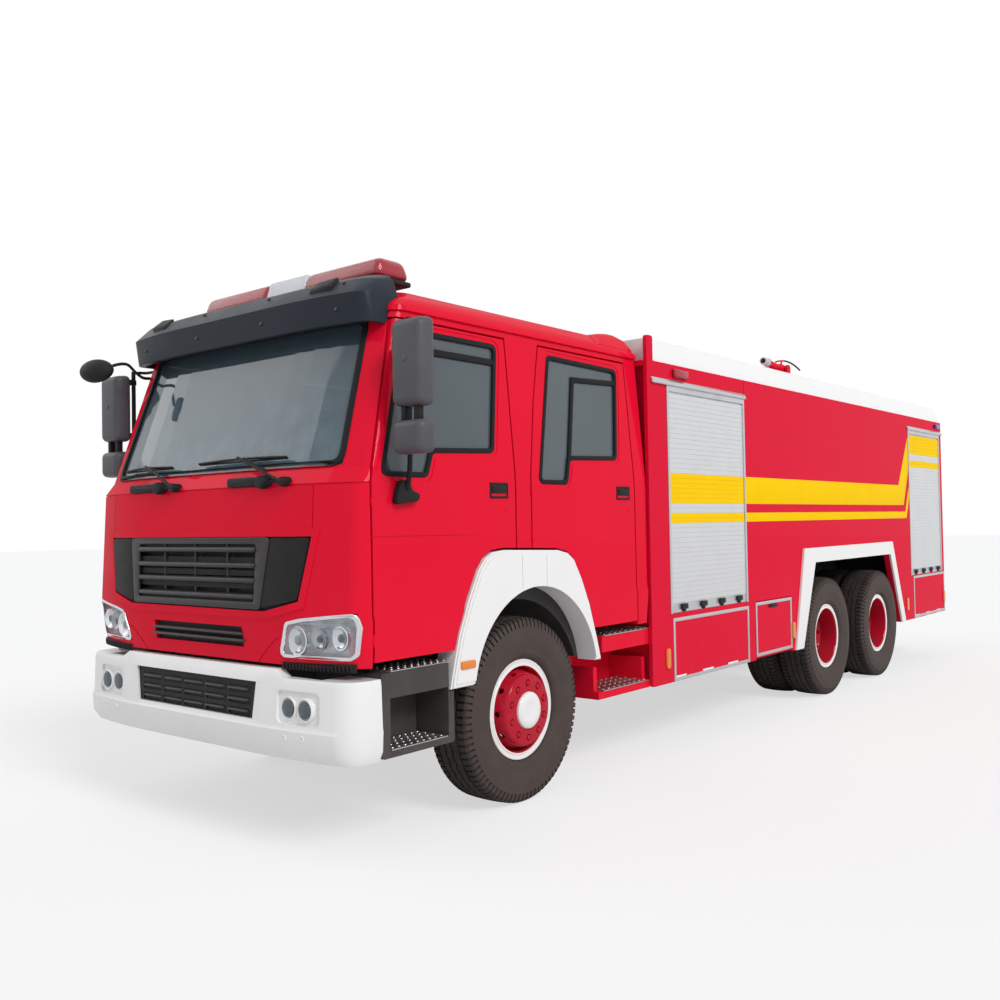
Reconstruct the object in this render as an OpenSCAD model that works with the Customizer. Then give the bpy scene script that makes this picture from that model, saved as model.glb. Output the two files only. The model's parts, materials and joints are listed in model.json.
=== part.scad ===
// Crew-cab tank fire engine on a three-axle truck chassis.
// Millimetres. +Z is up, the cab faces -Y, +X is the vehicle's left side.
// The origin lies on the ground under the middle of the vehicle.
// Every module below is written with y = 0 at the front axle and then moved by placed().

/* [Part shown] */
// Piece to build
// Names of the pieces

/* [Layout] */
// Front axle to the bumper's face
front_overhang = 1540; // [1480:5:1640]
// Front axle to the first rear axle
wheelbase = 4600; // [4500:10:4900]
// First rear axle to the second
tandem = 1400; // [1350:10:1450]
// Second rear axle to the body's rear wall
rear_overhang = 2285; // [2200:5:2500]
// How far the ladder stands off the rear wall
ladder_reach = 100; // [80:5:160]

/* [Wheels] */
// Tyre diameter on the road
tyre_d = 1110; // [1060:5:1130]
// Tyre section width
tyre_w = 314; // [290:2:320]
// Rim diameter under the bead
rim_seat_d = 516; // [508:1:520]
// Rim flange diameter
rim_flange_d = 600; // [580:2:620]
// Front tyre centre from the middle plane
front_half_track = 1020; // [1005:1:1030]
// Twin wheel centre from the middle plane
rear_half_track = 920; // [900:1:930]
// Spacing of the two tyres of a twin wheel
twin_pitch = 340; // [336:2:350]
// King pin from the middle plane
king_pin_x = 820; // [800:1:825]
// Wheel nuts on each wheel
nut_count = 10; // [8:1:12]

/* [Frame] */
// Outer width of the frame rails
frame_w = 850; // [820:5:870]
// Rail height
rail_h = 280; // [260:5:300]
// Rail flange width
rail_flange = 80; // [70:2:90]
// Height of the rail tops over the ground
frame_top = 1040; // [1020:5:1060]

/* [Cab] */
// Width of the cab across the doors
cab_w = 2450; // [2420:2:2460]
// Width of the cab under its gutter
cab_top_w = 2300; // [2260:2:2360]
// Cab back from the front axle
cab_back_y = 1335; // [1300:5:1345]
// Height of the cab's lower edge
cab_low_z = 965; // [955:1:975]
// Height of the waist under the windscreen
waist_z = 1975; // [1960:1:1990]
// Height of the gutter
gutter_z = 2820; // [2810:1:2850]
// Height of the roof over the gutter
roof_rise = 140; // [120:2:170]
// Thickness of doors and cab walls
wall_t = 50; // [44:1:54]
// Gap round each door
door_gap = 12; // [12:0.5:14]
// Thickness of the panes
glass_t = 6; // [5:0.5:8]
// Radius of the front arch
arch_r = 605; // [600:1:612]

/* [Body] */
// Width over the body sides
body_w = 2490; // [2480:2:2500]
// Body front wall from the front axle
body_front_y = 1405; // [1395:1:1450]
// Lower edge of the skirts
skirt_z = 510; // [490:1:530]
// Top of the red body sides
side_top_z = 2814; // [2780:2:2850]
// Height of the white roof edge over the sides
coaming_h = 171; // [140:1:200]
// Thickness of the body walls
panel_t = 60; // [50:1:70]

/* [Roof monitor] */
// Monitor from the front axle
monitor_y = 6450; // [6300:10:6600]
// Height of the barrel's pivot over the roof deck
monitor_rise = 600; // [580:5:640]
// Barrel radius
barrel_r = 42; // [36:1:48]

/* [Hidden] */
overall_length = front_overhang + wheelbase + tandem + rear_overhang + ladder_reach;
front_axle_y = front_overhang - overall_length / 2;
mid_y = wheelbase;
rear_y = wheelbase + tandem;
body_rear_y = rear_y + rear_overhang;
wheel_r = tyre_d / 2;
cab_hw = cab_w / 2;
cab_top_hw = cab_top_w / 2;
body_hw = body_w / 2;
panel_in = body_hw - panel_t;
frame_hw = frame_w / 2;
rail_in = frame_hw - rail_flange;
rail_low = frame_top - rail_h;
seat = 0.4;
run_fit = 0.05;
deck_z = side_top_z + 6;
coaming_z = side_top_z + coaming_h;
monitor_z = deck_z + monitor_rise;
roof_z = gutter_z + roof_rise;
fender_in = cab_hw - 125;
fender_out = cab_hw + 25;
tank_x = panel_in - 295;
floor_z = 1300;
floor_t = 60;
rail_front_y = -1380;
big = 4000;
$fn = 64;

// Helpers

module placed() translate([0, front_axle_y, 0]) children();
module on_side(s) mirror([s < 0 ? 1 : 0, 0, 0]) children();
module both() for (s = [1, -1]) on_side(s) children();
// Outline given as y, z and pushed along x
module prism_x(x0, x1) translate([x0, 0, 0]) rotate([90, 0, 90]) linear_extrude(x1 - x0) children();
// Outline given as x, z and pushed along y
module prism_y(y0, y1) translate([0, y1, 0]) rotate([90, 0, 0]) linear_extrude(y1 - y0) children();
module box(x0, x1, y0, y1, z0, z1) translate([x0, y0, z0]) cube([x1 - x0, y1 - y0, z1 - z0]);
module rod_x(x0, x1, y, z, r) translate([x0, y, z]) rotate([0, 90, 0]) cylinder(h = x1 - x0, r = r);
module rod_y(x, y0, y1, z, r) translate([x, y0, z]) rotate([-90, 0, 0]) cylinder(h = y1 - y0, r = r);
module rod_z(x, y, z0, z1, r) translate([x, y, z0]) cylinder(h = z1 - z0, r = r);
// Rounded rectangle from its corners
module rounded(x0, y0, x1, y1, r) {
  translate([x0 + r, y0]) square([x1 - x0 - 2 * r, y1 - y0]);
  translate([x0, y0 + r]) square([x1 - x0, y1 - y0 - 2 * r]);
  for (x = [x0 + r, x1 - r], y = [y0 + r, y1 - r]) translate([x, y]) circle(r);
}

// Bowed plan outlines stacked into a shell. Columns of a level row:
LV_Z = 0;
LV_HALF = 1;
LV_FRONT = 2;
LV_BACK = 3;
LV_CORNER = 4;
flat_hw = 500;
bow_steps = 4;
corner_steps = 4;

// Right half of one plan outline, from the middle of the front to the back corner
function half_plan(hw, yf, yb, rc, bow) =
  let (cx = hw - rc, span = cx - flat_hw, big_r = bow, small_r = bow - rc,
       turn = asin(span / small_r), cy = yf + big_r - small_r * cos(turn))
  concat(
    [for (i = [0:bow_steps]) let (a = turn * i / bow_steps)
      [flat_hw + big_r * sin(a), yf + big_r - big_r * cos(a)]],
    [for (i = [1:corner_steps]) let (a = turn + (90 - turn) * i / corner_steps)
      [cx + rc * sin(a), cy - rc * cos(a)]],
    [[hw, yb]]
  );
function ring(lv, inset, bow) =
  let (h = half_plan(lv[LV_HALF] - inset, lv[LV_FRONT] + inset, lv[LV_BACK] - inset,
                     max(lv[LV_CORNER] - inset, 20), bow - inset), n = len(h))
  concat([for (p = h) [p[0], p[1], lv[LV_Z]]],
         [for (i = [n - 1:-1:0]) [-h[i][0], h[i][1], lv[LV_Z]]]);
module loft(levels, inset, bow) {
  rings = [for (lv = levels) ring(lv, inset, bow)];
  n = len(rings[0]);
  m = len(rings);
  pts = [for (r = rings) for (p = r) p];
  // Each side face is split along the same diagonal on both halves
  sides = [for (k = [0:m - 2]) for (i = [0:n - 1]) for (half = [0, 1])
    let (j = (i + 1) % n, a = k * n + i, b = k * n + j, c = a + n, d = b + n)
    i < n / 2 ? (half == 0 ? [a, c, d] : [a, d, b]) : (half == 0 ? [a, c, b] : [c, d, b])];
  low = [for (i = [0:n - 1]) i];
  high = [for (i = [n - 1:-1:0]) (m - 1) * n + i];
  polyhedron(pts, concat(sides, [low], [high]), convexity = 6);
}

cab_bow = 2200;
flare = 8;
cab_face_y = -front_overhang + 30;
cab_levels = [
  [cab_low_z, cab_hw + flare - 3, cab_face_y + 40, cab_back_y - 30, 100],
  [1195, cab_hw + flare, cab_face_y + 10, cab_back_y, 100],
  [1225, cab_hw, cab_face_y, cab_back_y, 100],
  [waist_z - 75, cab_hw, cab_face_y + 35, cab_back_y, 100],
  [waist_z, cab_hw - 3, cab_face_y + 95, cab_back_y, 95],
  [gutter_z, cab_top_hw, cab_face_y + 395, cab_back_y, 70]
];
roof_levels = [
  [gutter_z, cab_top_hw + 16, cab_face_y + 385, cab_back_y + 8, 80],
  [gutter_z + 30, cab_top_hw + 10, cab_face_y + 390, cab_back_y + 4, 80],
  [gutter_z + 70, cab_top_hw - 25, cab_face_y + 430, cab_back_y - 30, 90],
  [roof_z, cab_top_hw - 130, cab_face_y + 560, cab_back_y - 130, 120]
];
tail_levels = [
  [gutter_z + 60, cab_top_hw - 14, 780, cab_back_y + 2, 70],
  [roof_z, cab_top_hw - 80, 900, cab_back_y - 8, 70],
  [roof_z + 46, cab_top_hw - 150, 1110, cab_back_y - 40, 80]
];
// The same levels, taller by a little at both ends, to open a shell above and below
function opened(levels) = [for (i = [0:len(levels) - 1]) let (lv = levels[i])
  [lv[LV_Z] + (i == 0 ? -1 : i == len(levels) - 1 ? 1 : 0),
   lv[LV_HALF], lv[LV_FRONT], lv[LV_BACK], lv[LV_CORNER]]];
module cab_solid(inset) loft(cab_levels, inset, cab_bow);
module cab_shell(i0, i1) {
  difference() {
    cab_solid(i0);
    loft(opened(cab_levels), i1, cab_bow);
  }
}

// Outlines on the cab side, as y and z from the front axle
door_front_y = -1291;
door_low_z = 990;
door_top_z = 2770;
door_split_y = -138;
crew_front_y = 25;
crew_rear_y = 1186;
fender_pts = [
  [-740, 780], [-700, 930], [-655, 1080], [-575, 1260], [-490, 1415],
  [-430, 1480], [-365, 1512], [-260, 1522],
  [265, 1505], [370, 1483], [430, 1444], [510, 1320], [592, 1155], [672, 925], [715, 780]
];
door_front_pts = [
  [door_front_y, door_low_z], [door_split_y, door_low_z], [door_split_y, door_top_z],
  [-1035, door_top_z], [door_front_y, 1900]
];
door_rear_pts = [
  [crew_front_y, door_low_z], [crew_rear_y, door_low_z], [crew_rear_y - 10, door_top_z],
  [crew_front_y + 180, door_top_z], [crew_front_y + 90, 2430], [crew_front_y, 1960]
];
window_front_pts = [
  [-1222, 1935], [-885, 1935], [-830, 2070], [-315, 2090], [-215, 2722], [-985, 2722]
];
window_rear_pts = [
  [105, 1920], [397, 1920], [441, 2078], [988, 2096], [1081, 2711], [296, 2722]
];
module fender_2d(grow) offset(delta = grow) polygon(fender_pts);
module door_2d(pts) {
  difference() {
    polygon(pts);
    fender_2d(door_gap);
  }
}
module window_2d(pts, grow) offset(r = 30 + grow, $fn = 24) offset(delta = -30) polygon(pts);
screen_low_hw = 1060;
screen_top_hw = 990;
screen_low_z = waist_z + 15;
screen_top_z = gutter_z - 35;
module screen_2d(grow) {
  offset(delta = grow) polygon([
    [-screen_low_hw, screen_low_z], [screen_low_hw, screen_low_z],
    [screen_top_hw, screen_top_z], [-screen_top_hw, screen_top_z]
  ]);
}
front_split_y = door_front_y - door_gap;

// Openings of the front, as x and z
grille_low_z = 1240;
grille_top_z = 1628;
module grille_2d(grow) {
  offset(delta = grow) polygon([
    [-945, grille_top_z], [-870, 1296], [-632, grille_low_z],
    [632, grille_low_z], [870, 1296], [945, grille_top_z]
  ]);
}
module slot_2d(grow) offset(delta = grow) translate([-420, 1040]) square([840, 108]);
module headlamp_2d(grow) {
  offset(delta = grow) polygon([
    [706, 1008], [1150, 1006], [1190, 1030], [1212, 1170],
    [1200, 1240], [1063, 1227], [874, 1207], [772, 1186]
  ]);
}
headlamp_back_y = -1345;

// Door hinges: a lug with a bore on the post, a pin between two lugs on the door
hinge_x = cab_hw + flare - 2;
hinge_r = 5.5;
hinge_pin_r = 3;
hinge_lug = 13;
hinge_half = 30;
front_hinge_zs = [1100, 1800];
rear_hinge_zs = [1600, 1880];
module post_lug(edge_y, z) {
  y = edge_y - door_gap / 2;
  difference() {
    union() {
      rod_z(hinge_x, y, z - hinge_lug, z + hinge_lug, hinge_r);
      box(cab_hw - 30, hinge_x, edge_y - door_gap - 2, y, z - hinge_lug, z + hinge_lug);
    }
    rod_z(hinge_x, y, z - hinge_half, z + hinge_half, hinge_pin_r + run_fit);
  }
}
module door_lugs(edge_y, z) {
  y = edge_y - door_gap / 2;
  rod_z(hinge_x, y, z - hinge_half, z + hinge_half, hinge_pin_r);
  for (z0 = [z - hinge_half, z + hinge_lug + 1]) {
    rod_z(hinge_x, y, z0, z0 + hinge_half - hinge_lug - 1, hinge_r);
    box(cab_hw - 30, hinge_x, y, edge_y + 2, z0, z0 + hinge_half - hinge_lug - 1);
  }
}

// Cab

seam_w = 6;
seam_d = 6;
cowl_seam_z = 1893;
hood_seam_x = 942;
lip_h = 7;
// Seams of the front as x and z
module seams_2d() {
  translate([-big, cowl_seam_z - seam_w / 2]) square([2 * big, seam_w]);
  both() translate([hood_seam_x - seam_w / 2, grille_top_z + 40])
    square([seam_w, cowl_seam_z - grille_top_z - 40]);
  both() polygon([
    [530, 960], [574, 1004], [684, 1090], [712, 1102], [712, 1108], [680, 1097], [568, 1009], [524, 965]
  ]);
}
module cab_front() {
  color([0.72, 0.05, 0.05]) placed() {
    difference() {
      union() {
        intersection() {
          cab_shell(0, wall_t);
          box(-big, big, -big, front_split_y, cab_low_z - 5, waist_z);
        }
        intersection() {
          cab_shell(-lip_h, 10);
          prism_y(-big, -1200) grille_2d(40);
        }
      }
      intersection() {
        cab_shell(-10, seam_d);
        prism_y(-big, front_split_y + 1) seams_2d();
      }
      prism_y(-big, -900) grille_2d(0);
      prism_y(-big, -900) slot_2d(0);
      both() prism_y(-big, headlamp_back_y) headlamp_2d(0);
    }
    both() for (z = front_hinge_zs) post_lug(door_front_y, z);
  }
}

module cab_pillars() {
  color([0.72, 0.05, 0.05]) placed() {
    difference() {
      intersection() {
        cab_shell(0, wall_t);
        box(-big, big, -big, cab_back_y - wall_t - 5, cab_low_z - 5, gutter_z);
      }
      box(-big, big, -big, front_split_y, cab_low_z - 10, waist_z);
      prism_y(-big, -900) screen_2d(0);
      box(-1100, 1100, 1000, big, 0, 1300);
      both() prism_x(900, 1400) {
        offset(delta = door_gap) polygon(door_front_pts);
        offset(delta = door_gap) polygon(door_rear_pts);
        fender_2d(door_gap);
        translate([-1400, 0]) square([1400 + crew_rear_y, door_low_z + 1]);
      }
    }
    both() for (z = rear_hinge_zs) post_lug(crew_front_y, z);
  }
}

module cab_back() {
  color([0.72, 0.05, 0.05]) placed() difference() {
    intersection() {
      cab_solid(0);
      box(-big, big, cab_back_y - wall_t - 5, big, cab_low_z - 5, gutter_z);
    }
    box(-780, 780, 1000, big, 0, frame_top + 40);
  }
}

module cab_roof() {
  color([0.72, 0.05, 0.05]) placed() difference() {
    union() {
      loft(roof_levels, 0, cab_bow);
      loft(tail_levels, 0, cab_bow);
    }
    translate([0, 0, -wall_t]) loft(roof_levels, wall_t, cab_bow);
  }
}

module windscreen() {
  color([0.12, 0.15, 0.17]) placed() intersection() {
    cab_shell(10, 10 + glass_t);
    prism_y(-big, -900) screen_2d(-seat);
  }
}

module cab_floor() {
  color([0.10, 0.10, 0.11]) placed() {
    difference() {
      union() {
        intersection() {
          cab_solid(wall_t + 5 + seat);
          box(-big, big, -big, big, floor_z, floor_z + floor_t);
        }
        intersection() {
          cab_solid(wall_t + seat);
          box(-700, 700, -big, -1200, floor_z, floor_z + floor_t);
        }
      }
      both() prism_x(fender_in, fender_out + 100) fender_2d(5);
      both() box(cab_hw - wall_t - 20, cab_hw + 100, door_front_y - 20, cab_back_y - 80,
                 floor_z - 1, floor_z + floor_t + 1);
    }
    both() difference() {
      box(520, fender_in, -680, 700, 800, floor_z - seat);
      rod_x(500, fender_in + 20, 0, wheel_r, 660);
    }
    both() for (y = [-1180, 1120])
      box(rail_in + 10, frame_hw - 10, y - 45, y + 45, frame_top, floor_z - seat);
  }
}

module seat_block(x, y, w) {
  box(x - w / 2, x + w / 2, y - 250, y + 250, floor_z + floor_t, floor_z + floor_t + 330);
  translate([x - w / 2, y + 210, floor_z + floor_t + 300]) rotate([-10, 0, 0]) cube([w, 110, 700]);
}
module cab_interior() {
  wheel_x = 560;
  color([0.16, 0.16, 0.17]) placed() {
    for (x = [-560, wheel_x]) seat_block(x, -420, 500);
    seat_block(0, 790, 1900);
    prism_x(-1090, 1090) polygon([
      [-1215, floor_z + floor_t], [-1080, floor_z + floor_t], [-1010, 1560],
      [-960, 1900], [-1010, 1960], [-1215, 1960]
    ]);
    translate([wheel_x, -880, 1905]) rotate([-35, 0, 0]) {
      rotate_extrude() translate([215, 0]) circle(16, $fn = 24);
      translate([0, 0, -12]) cylinder(h = 24, r = 60);
      for (a = [0, 120, 240]) rotate([0, 0, a + 30]) rotate([0, 90, 0])
        cylinder(h = 215, r = 11, $fn = 24);
      translate([0, 0, -300]) cylinder(h = 300, r = 26);
    }
  }
}

// Doors

press_w = 34;
press_d = 4;
crease_z = 1617;
module door(s, pts, window, hinge_zs) {
  color([0.72, 0.05, 0.05]) placed() on_side(s) {
    difference() {
      intersection() {
        cab_shell(0, wall_t);
        prism_x(900, 1400) door_2d(pts);
      }
      prism_x(900, 1400) window_2d(window, 0);
      intersection() {
        cab_shell(-5, press_d);
        prism_x(900, 1400) {
          window_2d(window, press_w);
          polygon([[door_front_y - 1, crease_z - 5], [door_front_y - 1, crease_z + 5], [-420, crease_z]]);
        }
      }
    }
    for (z = hinge_zs) door_lugs(pts[0][0], z);
  }
}
module pane(s, window) {
  color([0.12, 0.15, 0.17]) placed() on_side(s) intersection() {
    cab_shell(14, 14 + glass_t);
    prism_x(900, 1400) window_2d(window, -seat);
  }
}
module door_front_left() door(1, door_front_pts, window_front_pts, front_hinge_zs);
module door_front_right() door(-1, door_front_pts, window_front_pts, front_hinge_zs);
module door_rear_left() door(1, door_rear_pts, window_rear_pts, rear_hinge_zs);
module door_rear_right() door(-1, door_rear_pts, window_rear_pts, rear_hinge_zs);
module glass_front_left() pane(1, window_front_pts);
module glass_front_right() pane(-1, window_front_pts);
module glass_rear_left() pane(1, window_rear_pts);
module glass_rear_right() pane(-1, window_rear_pts);

// Mirrors on the front doors

module mirror_head(z0, z1) prism_z_box(1275, 1520, -1225, -1115, z0, z1, 40);
module prism_z_box(x0, x1, y0, y1, z0, z1, r)
  translate([0, 0, z0]) linear_extrude(z1 - z0) rounded(x0, y0, x1, y1, r);
module mirror_pair(s) {
  arm_x = 1300;
  arm_y = -1090;
  stay_y = -1000;
  stay_z = 2742;
  color([0.05, 0.05, 0.055]) placed() on_side(s) {
    mirror_head(2265, 2720);
    mirror_head(2030, 2205);
    rod_z(arm_x, arm_y, 1850, 2756, 14);
    box(cab_hw + seat, arm_x + 14, arm_y - 60, arm_y + 40, 1810, 1870);
    rod_y(arm_x, arm_y, stay_y, stay_z, 10);
    difference() {
      rod_x(cab_top_hw - 30, arm_x + 6, stay_y, stay_z, 9);
      cab_solid(-seat);
    }
    for (z = [2310, 2670, 2070, 2160]) box(arm_x - 10, arm_x + 10, -1130, arm_y, z - 12, z + 12);
  }
}
module mirror_left() mirror_pair(1);
module mirror_right() mirror_pair(-1);

// Front of the vehicle

bumper_bow = 3800;
bumper_back_y = -1255;
bumper_levels = [
  [490, body_hw - 30, -front_overhang + 45, bumper_back_y, 120],
  [545, body_hw - 5, -front_overhang + 8, bumper_back_y, 140],
  [646, body_hw, -front_overhang, bumper_back_y, 150],
  [668, body_hw - 3, -front_overhang + 12, bumper_back_y, 148],
  [880, body_hw - 10, -front_overhang + 20, bumper_back_y, 140],
  [945, body_hw - 20, -front_overhang + 48, bumper_back_y, 130]
];
bumper_t = 40;
bumper_inner_y = -front_overhang + 100;
fog_xs = [808, 936];
fog_z = 755;
fog_r = 50;
fog_recess = 14;
module bumper_grille_2d(grow) {
  offset(delta = grow) polygon([[-543, 676], [543, 676], [570, 872], [-570, 872]]);
}
module bumper() {
  color([0.88, 0.88, 0.86]) placed() {
    difference() {
      intersection() {
        loft(bumper_levels, 0, bumper_bow);
        prism_y(-big, big) polygon([
          [-1300, 400], [1300, 400], [1300, 905], [765, 905],
          [705, 946], [-705, 946], [-765, 905], [-1300, 905]
        ]);
      }
      translate([0, 60, 0]) intersection() {
        loft(bumper_levels, bumper_t, bumper_bow);
        box(-big, big, -big, big, 520, 870);
      }
      box(-1160, 1160, bumper_back_y - 60, bumper_back_y + 10, 520, 870);
      box(-1000, 1000, bumper_inner_y, bumper_back_y + 10, 400, 1000);
      prism_y(-big, -1300) bumper_grille_2d(0);
      both() intersection() {
        difference() {
          loft(bumper_levels, -3, bumper_bow);
          loft(bumper_levels, fog_recess, bumper_bow);
        }
        prism_y(-big, -1300) rounded(735, 676, 1032, 846, 34);
      }
      both() for (x = fog_xs) rod_y(x, -1700, -1300, fog_z, fog_r + seat);
    }
    both() box(rail_in + 5, frame_hw - 5, bumper_inner_y - 30, rail_front_y - seat, 885, 925);
    both() box(rail_in + 5, frame_hw - 5, bumper_inner_y + 20, rail_front_y - seat, 790, 900);
  }
}

slat_zs = [1300, 1368, 1436, 1504, 1572];
module grilles() {
  color([0.04, 0.04, 0.045]) placed() {
    intersection() {
      cab_shell(40, wall_t);
      prism_y(-big, -900) grille_2d(-seat);
    }
    difference() {
      intersection() {
        cab_shell(10, wall_t);
        prism_y(-big, -900) grille_2d(-seat);
      }
      prism_y(-big, -900) translate([-585, 1262]) square([1170, 338]);
    }
    intersection() {
      cab_shell(6, wall_t);
      for (z = slat_zs) box(-600, 600, -big, -1300, z - 16, z + 16);
    }
    intersection() {
      cab_shell(22, wall_t);
      prism_y(-big, -900) slot_2d(-seat);
    }
    difference() {
      intersection() {
        difference() {
          loft(bumper_levels, 14, bumper_bow);
          translate([0, 46, 0]) loft(bumper_levels, 14, bumper_bow);
        }
        prism_y(-big, -1300) bumper_grille_2d(-seat);
      }
      for (i = [-2:2], z = [702, 762, 822])
        box(i * 208 - 92, i * 208 + 92, -big, -1505, z - 18, z + 18);
    }
  }
}

module lamps() {
  color([0.80, 0.82, 0.84]) placed() both() {
    intersection() {
      cab_shell(4, wall_t);
      prism_y(-big, headlamp_back_y - seat) headlamp_2d(-seat);
    }
    for (x = fog_xs) rod_y(x, -1500, -1420, fog_z, fog_r);
  }
}

visor_bow = 3000;
visor_levels = [
  [2745, 1105, -1245, -800, 70],
  [2898, 1100, -1275, -800, 90],
  [2985, 1070, -1190, -800, 110],
  [3026, 1040, -1085, -800, 110]
];
module sun_visor() {
  visor_t = 22;
  color([0.13, 0.13, 0.14]) placed() difference() {
    intersection() {
      loft(visor_levels, 0, visor_bow);
      box(-big, big, -big, -960, 2700, 3100);
    }
    difference() {
      union() {
        translate([0, visor_t, -visor_t]) loft(visor_levels, visor_t, visor_bow);
        translate([0, 100, -60]) loft(visor_levels, visor_t, visor_bow);
      }
      both() box(640, 700, -1100, -900, 2700, 3100);
    }
    cab_solid(-seat);
    loft(roof_levels, -seat, cab_bow);
  }
}

module light_bar() {
  bar_y = -720;
  bar_z = roof_z + 87;
  color([0.75, 0.06, 0.06]) placed() {
    prism_z_box(-840, 840, bar_y - 140, bar_y + 140, bar_z, bar_z + 158, 90);
    both() box(420, 560, bar_y - 90, bar_y + 90, roof_z + seat, bar_z + 10);
  }
}

module front_mirror() {
  // Arm from the dish back to the right door post, as steps in x, y and z
  dish = [-1130, -1425, 2690];
  reach = [105, 410, -33];
  color([0.05, 0.05, 0.055]) placed() {
    translate(dish) rotate([38, -18, 0]) {
      translate([0, 0, -20]) cylinder(h = 40, r1 = 130, r2 = 105, $fn = 128);
      cylinder(h = 45, r = 30, $fn = 96);
    }
    difference() {
      translate(dish) rotate([0, 0, atan2(reach[1], reach[0])])
        rotate([0, 90 - atan2(reach[2], norm([reach[0], reach[1]])), 0])
          cylinder(h = norm(reach), r = 11, $fn = 64);
      cab_solid(-0.05);
    }
  }
}

// Steps

module front_steps() {
  step_x0 = cab_hw - 365;
  step_x1 = cab_hw + 10;
  step_y0 = bumper_back_y + seat;
  step_y1 = -714;
  color([0.15, 0.15, 0.16]) placed() both() {
    difference() {
      prism_x(step_x0, step_x1) rounded(step_y0, 500, step_y1, 930, 18);
      box(step_x0 + 130, step_x1 + 10, step_y0 + 60, step_y1 - 45, 535, 800);
      box(fender_in - 10, step_x1 + 10, step_y1 - 40, step_y1 + 10, 774, 940);
    }
    box(frame_hw + seat, step_x0 + 10, -1000, -900, 800, 860);
  }
}

module crew_steps() {
  step_x0 = cab_hw - 365;
  step_x1 = cab_hw - 11;
  step_y0 = 715;
  step_y1 = 1385;
  color([0.66, 0.05, 0.05]) placed() both() {
    box(step_x0, step_x1, step_y0 + 50, step_y1, 815, 920);
    box(step_x0, step_x1, step_y0, step_y1 - 30, 512, 560);
    box(step_x0, step_x0 + 40, step_y0 + 50, step_y1 - 30, 512, 920);
    for (y = [step_y0, step_y1 - 70]) box(step_x0, step_x1 - 40, y, y + 40, 512, 720);
    box(frame_hw + seat, step_x0 + 10, 900, 1000, 830, 890);
  }
}

// Arches: white front fenders and the trims round the rear arches

arch_outer_pts = [[3770, skirt_z - 8], [4000, 1400], [6370, 1405], [6762, skirt_z - 8]];
arch_inner_pts = [[3928, skirt_z - 8], [4243, 1266], [6298, 1271], [6640, skirt_z - 8]];
module arch_2d(pts, grow) offset(delta = grow) polygon([for (p = pts) [p[0] + mid_y - 4600, p[1]]]);
fender_seam_ys = [-110, 130];
module front_fender() {
  difference() {
    union() {
      prism_x(fender_in + seat, fender_out - 17) fender_2d(0);
      prism_x(fender_out - 18, fender_out - 6) fender_2d(-9);
      prism_x(fender_out - 7, fender_out) fender_2d(-26);
    }
    rod_x(fender_in - 100, fender_out + 100, 50, 690, arch_r);
    box(fender_in - 100, fender_out + 100, -900, 900, 700, 782);
    for (y = fender_seam_ys) box(fender_out - 5, fender_out + 1, y - 2, y + 2, 1200, 1600);
  }
}
module wheel_arches() {
  color([0.88, 0.88, 0.86]) placed() both() {
    front_fender();
    difference() {
      prism_x(body_hw, body_hw + 18) arch_2d(arch_outer_pts, 0);
      prism_x(body_hw - 200, body_hw + 100) arch_2d(arch_inner_pts, 0);
      box(body_hw - 200, body_hw + 100, 3000, 8000, 400, skirt_z);
    }
  }
}

// Body

shutter_low_z = 1002;
shutter_top_z = 2655;
shutter_x0 = body_hw - 42;
shutter_x1 = body_hw - 8;
// Roller shutters on each side as rows of front edge and rear edge
SH_FRONT = 0;
SH_REAR = 1;
shutters = [[1612, 2862], [body_rear_y - 1270, body_rear_y - 95]];
rear_shutter_hw = 620;
rear_shutter_low = 1060;
flap_y1 = mid_y - 885;
flap_y0 = flap_y1 - 720;
flap_z0 = 520;
flap_z1 = 985;
flap_t = 30;
flap_gap = 6;
flap_pin = 40;
flap_pin_r = 5;
flap_axis_x = body_hw - flap_t / 2;
flap_axis_z = flap_z0 + flap_t / 2;

module body_sides() {
  color([0.72, 0.05, 0.05]) placed() both() difference() {
    box(panel_in, body_hw, body_front_y + panel_t, body_rear_y - panel_t, skirt_z, side_top_z);
    for (r = shutters)
      box(panel_in - 1, body_hw + 1, r[SH_FRONT], r[SH_REAR], shutter_low_z, shutter_top_z);
    prism_x(body_hw - 200, body_hw + 100) arch_2d(arch_inner_pts, 0);
    box(body_hw - flap_t - 6, body_hw + 1, flap_y0 - flap_gap, flap_y1 + flap_gap,
        skirt_z - 1, flap_z1 + flap_gap);
  }
  color([0.72, 0.05, 0.05]) placed() both() for (y = [flap_y0 - flap_gap - 5, flap_y1 - flap_pin])
    rod_y(flap_axis_x, y, y + flap_pin + flap_gap + 5, flap_axis_z, flap_pin_r);
}

module body_ends() {
  flange = 55;
  color([0.72, 0.05, 0.05]) placed() {
    difference() {
      box(-body_hw, body_hw, body_front_y, body_front_y + panel_t, skirt_z, side_top_z);
      box(-frame_hw - 35, frame_hw + 35, body_front_y - 1, body_front_y + panel_t + 1,
          skirt_z - 1, frame_top + 35);
    }
    both() prism_x(body_hw - 28, body_hw)
      rounded(body_front_y - flange, skirt_z, body_front_y + 30, coaming_z + 5, 20);
    box(-body_hw, body_hw, body_front_y - flange, body_front_y + 1, side_top_z - 40, side_top_z);
    difference() {
      box(-body_hw, body_hw, body_rear_y - panel_t, body_rear_y, skirt_z, side_top_z);
      box(-rear_shutter_hw, rear_shutter_hw, body_rear_y - 100, body_rear_y + 1,
          rear_shutter_low, shutter_top_z);
      both() box(body_hw - 345, body_hw - 65, body_rear_y - 30, body_rear_y + 1, 620, 760);
      box(-160, 160, body_rear_y - 100, body_rear_y + 1, skirt_z - 1, 1005);
    }
  }
}

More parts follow.
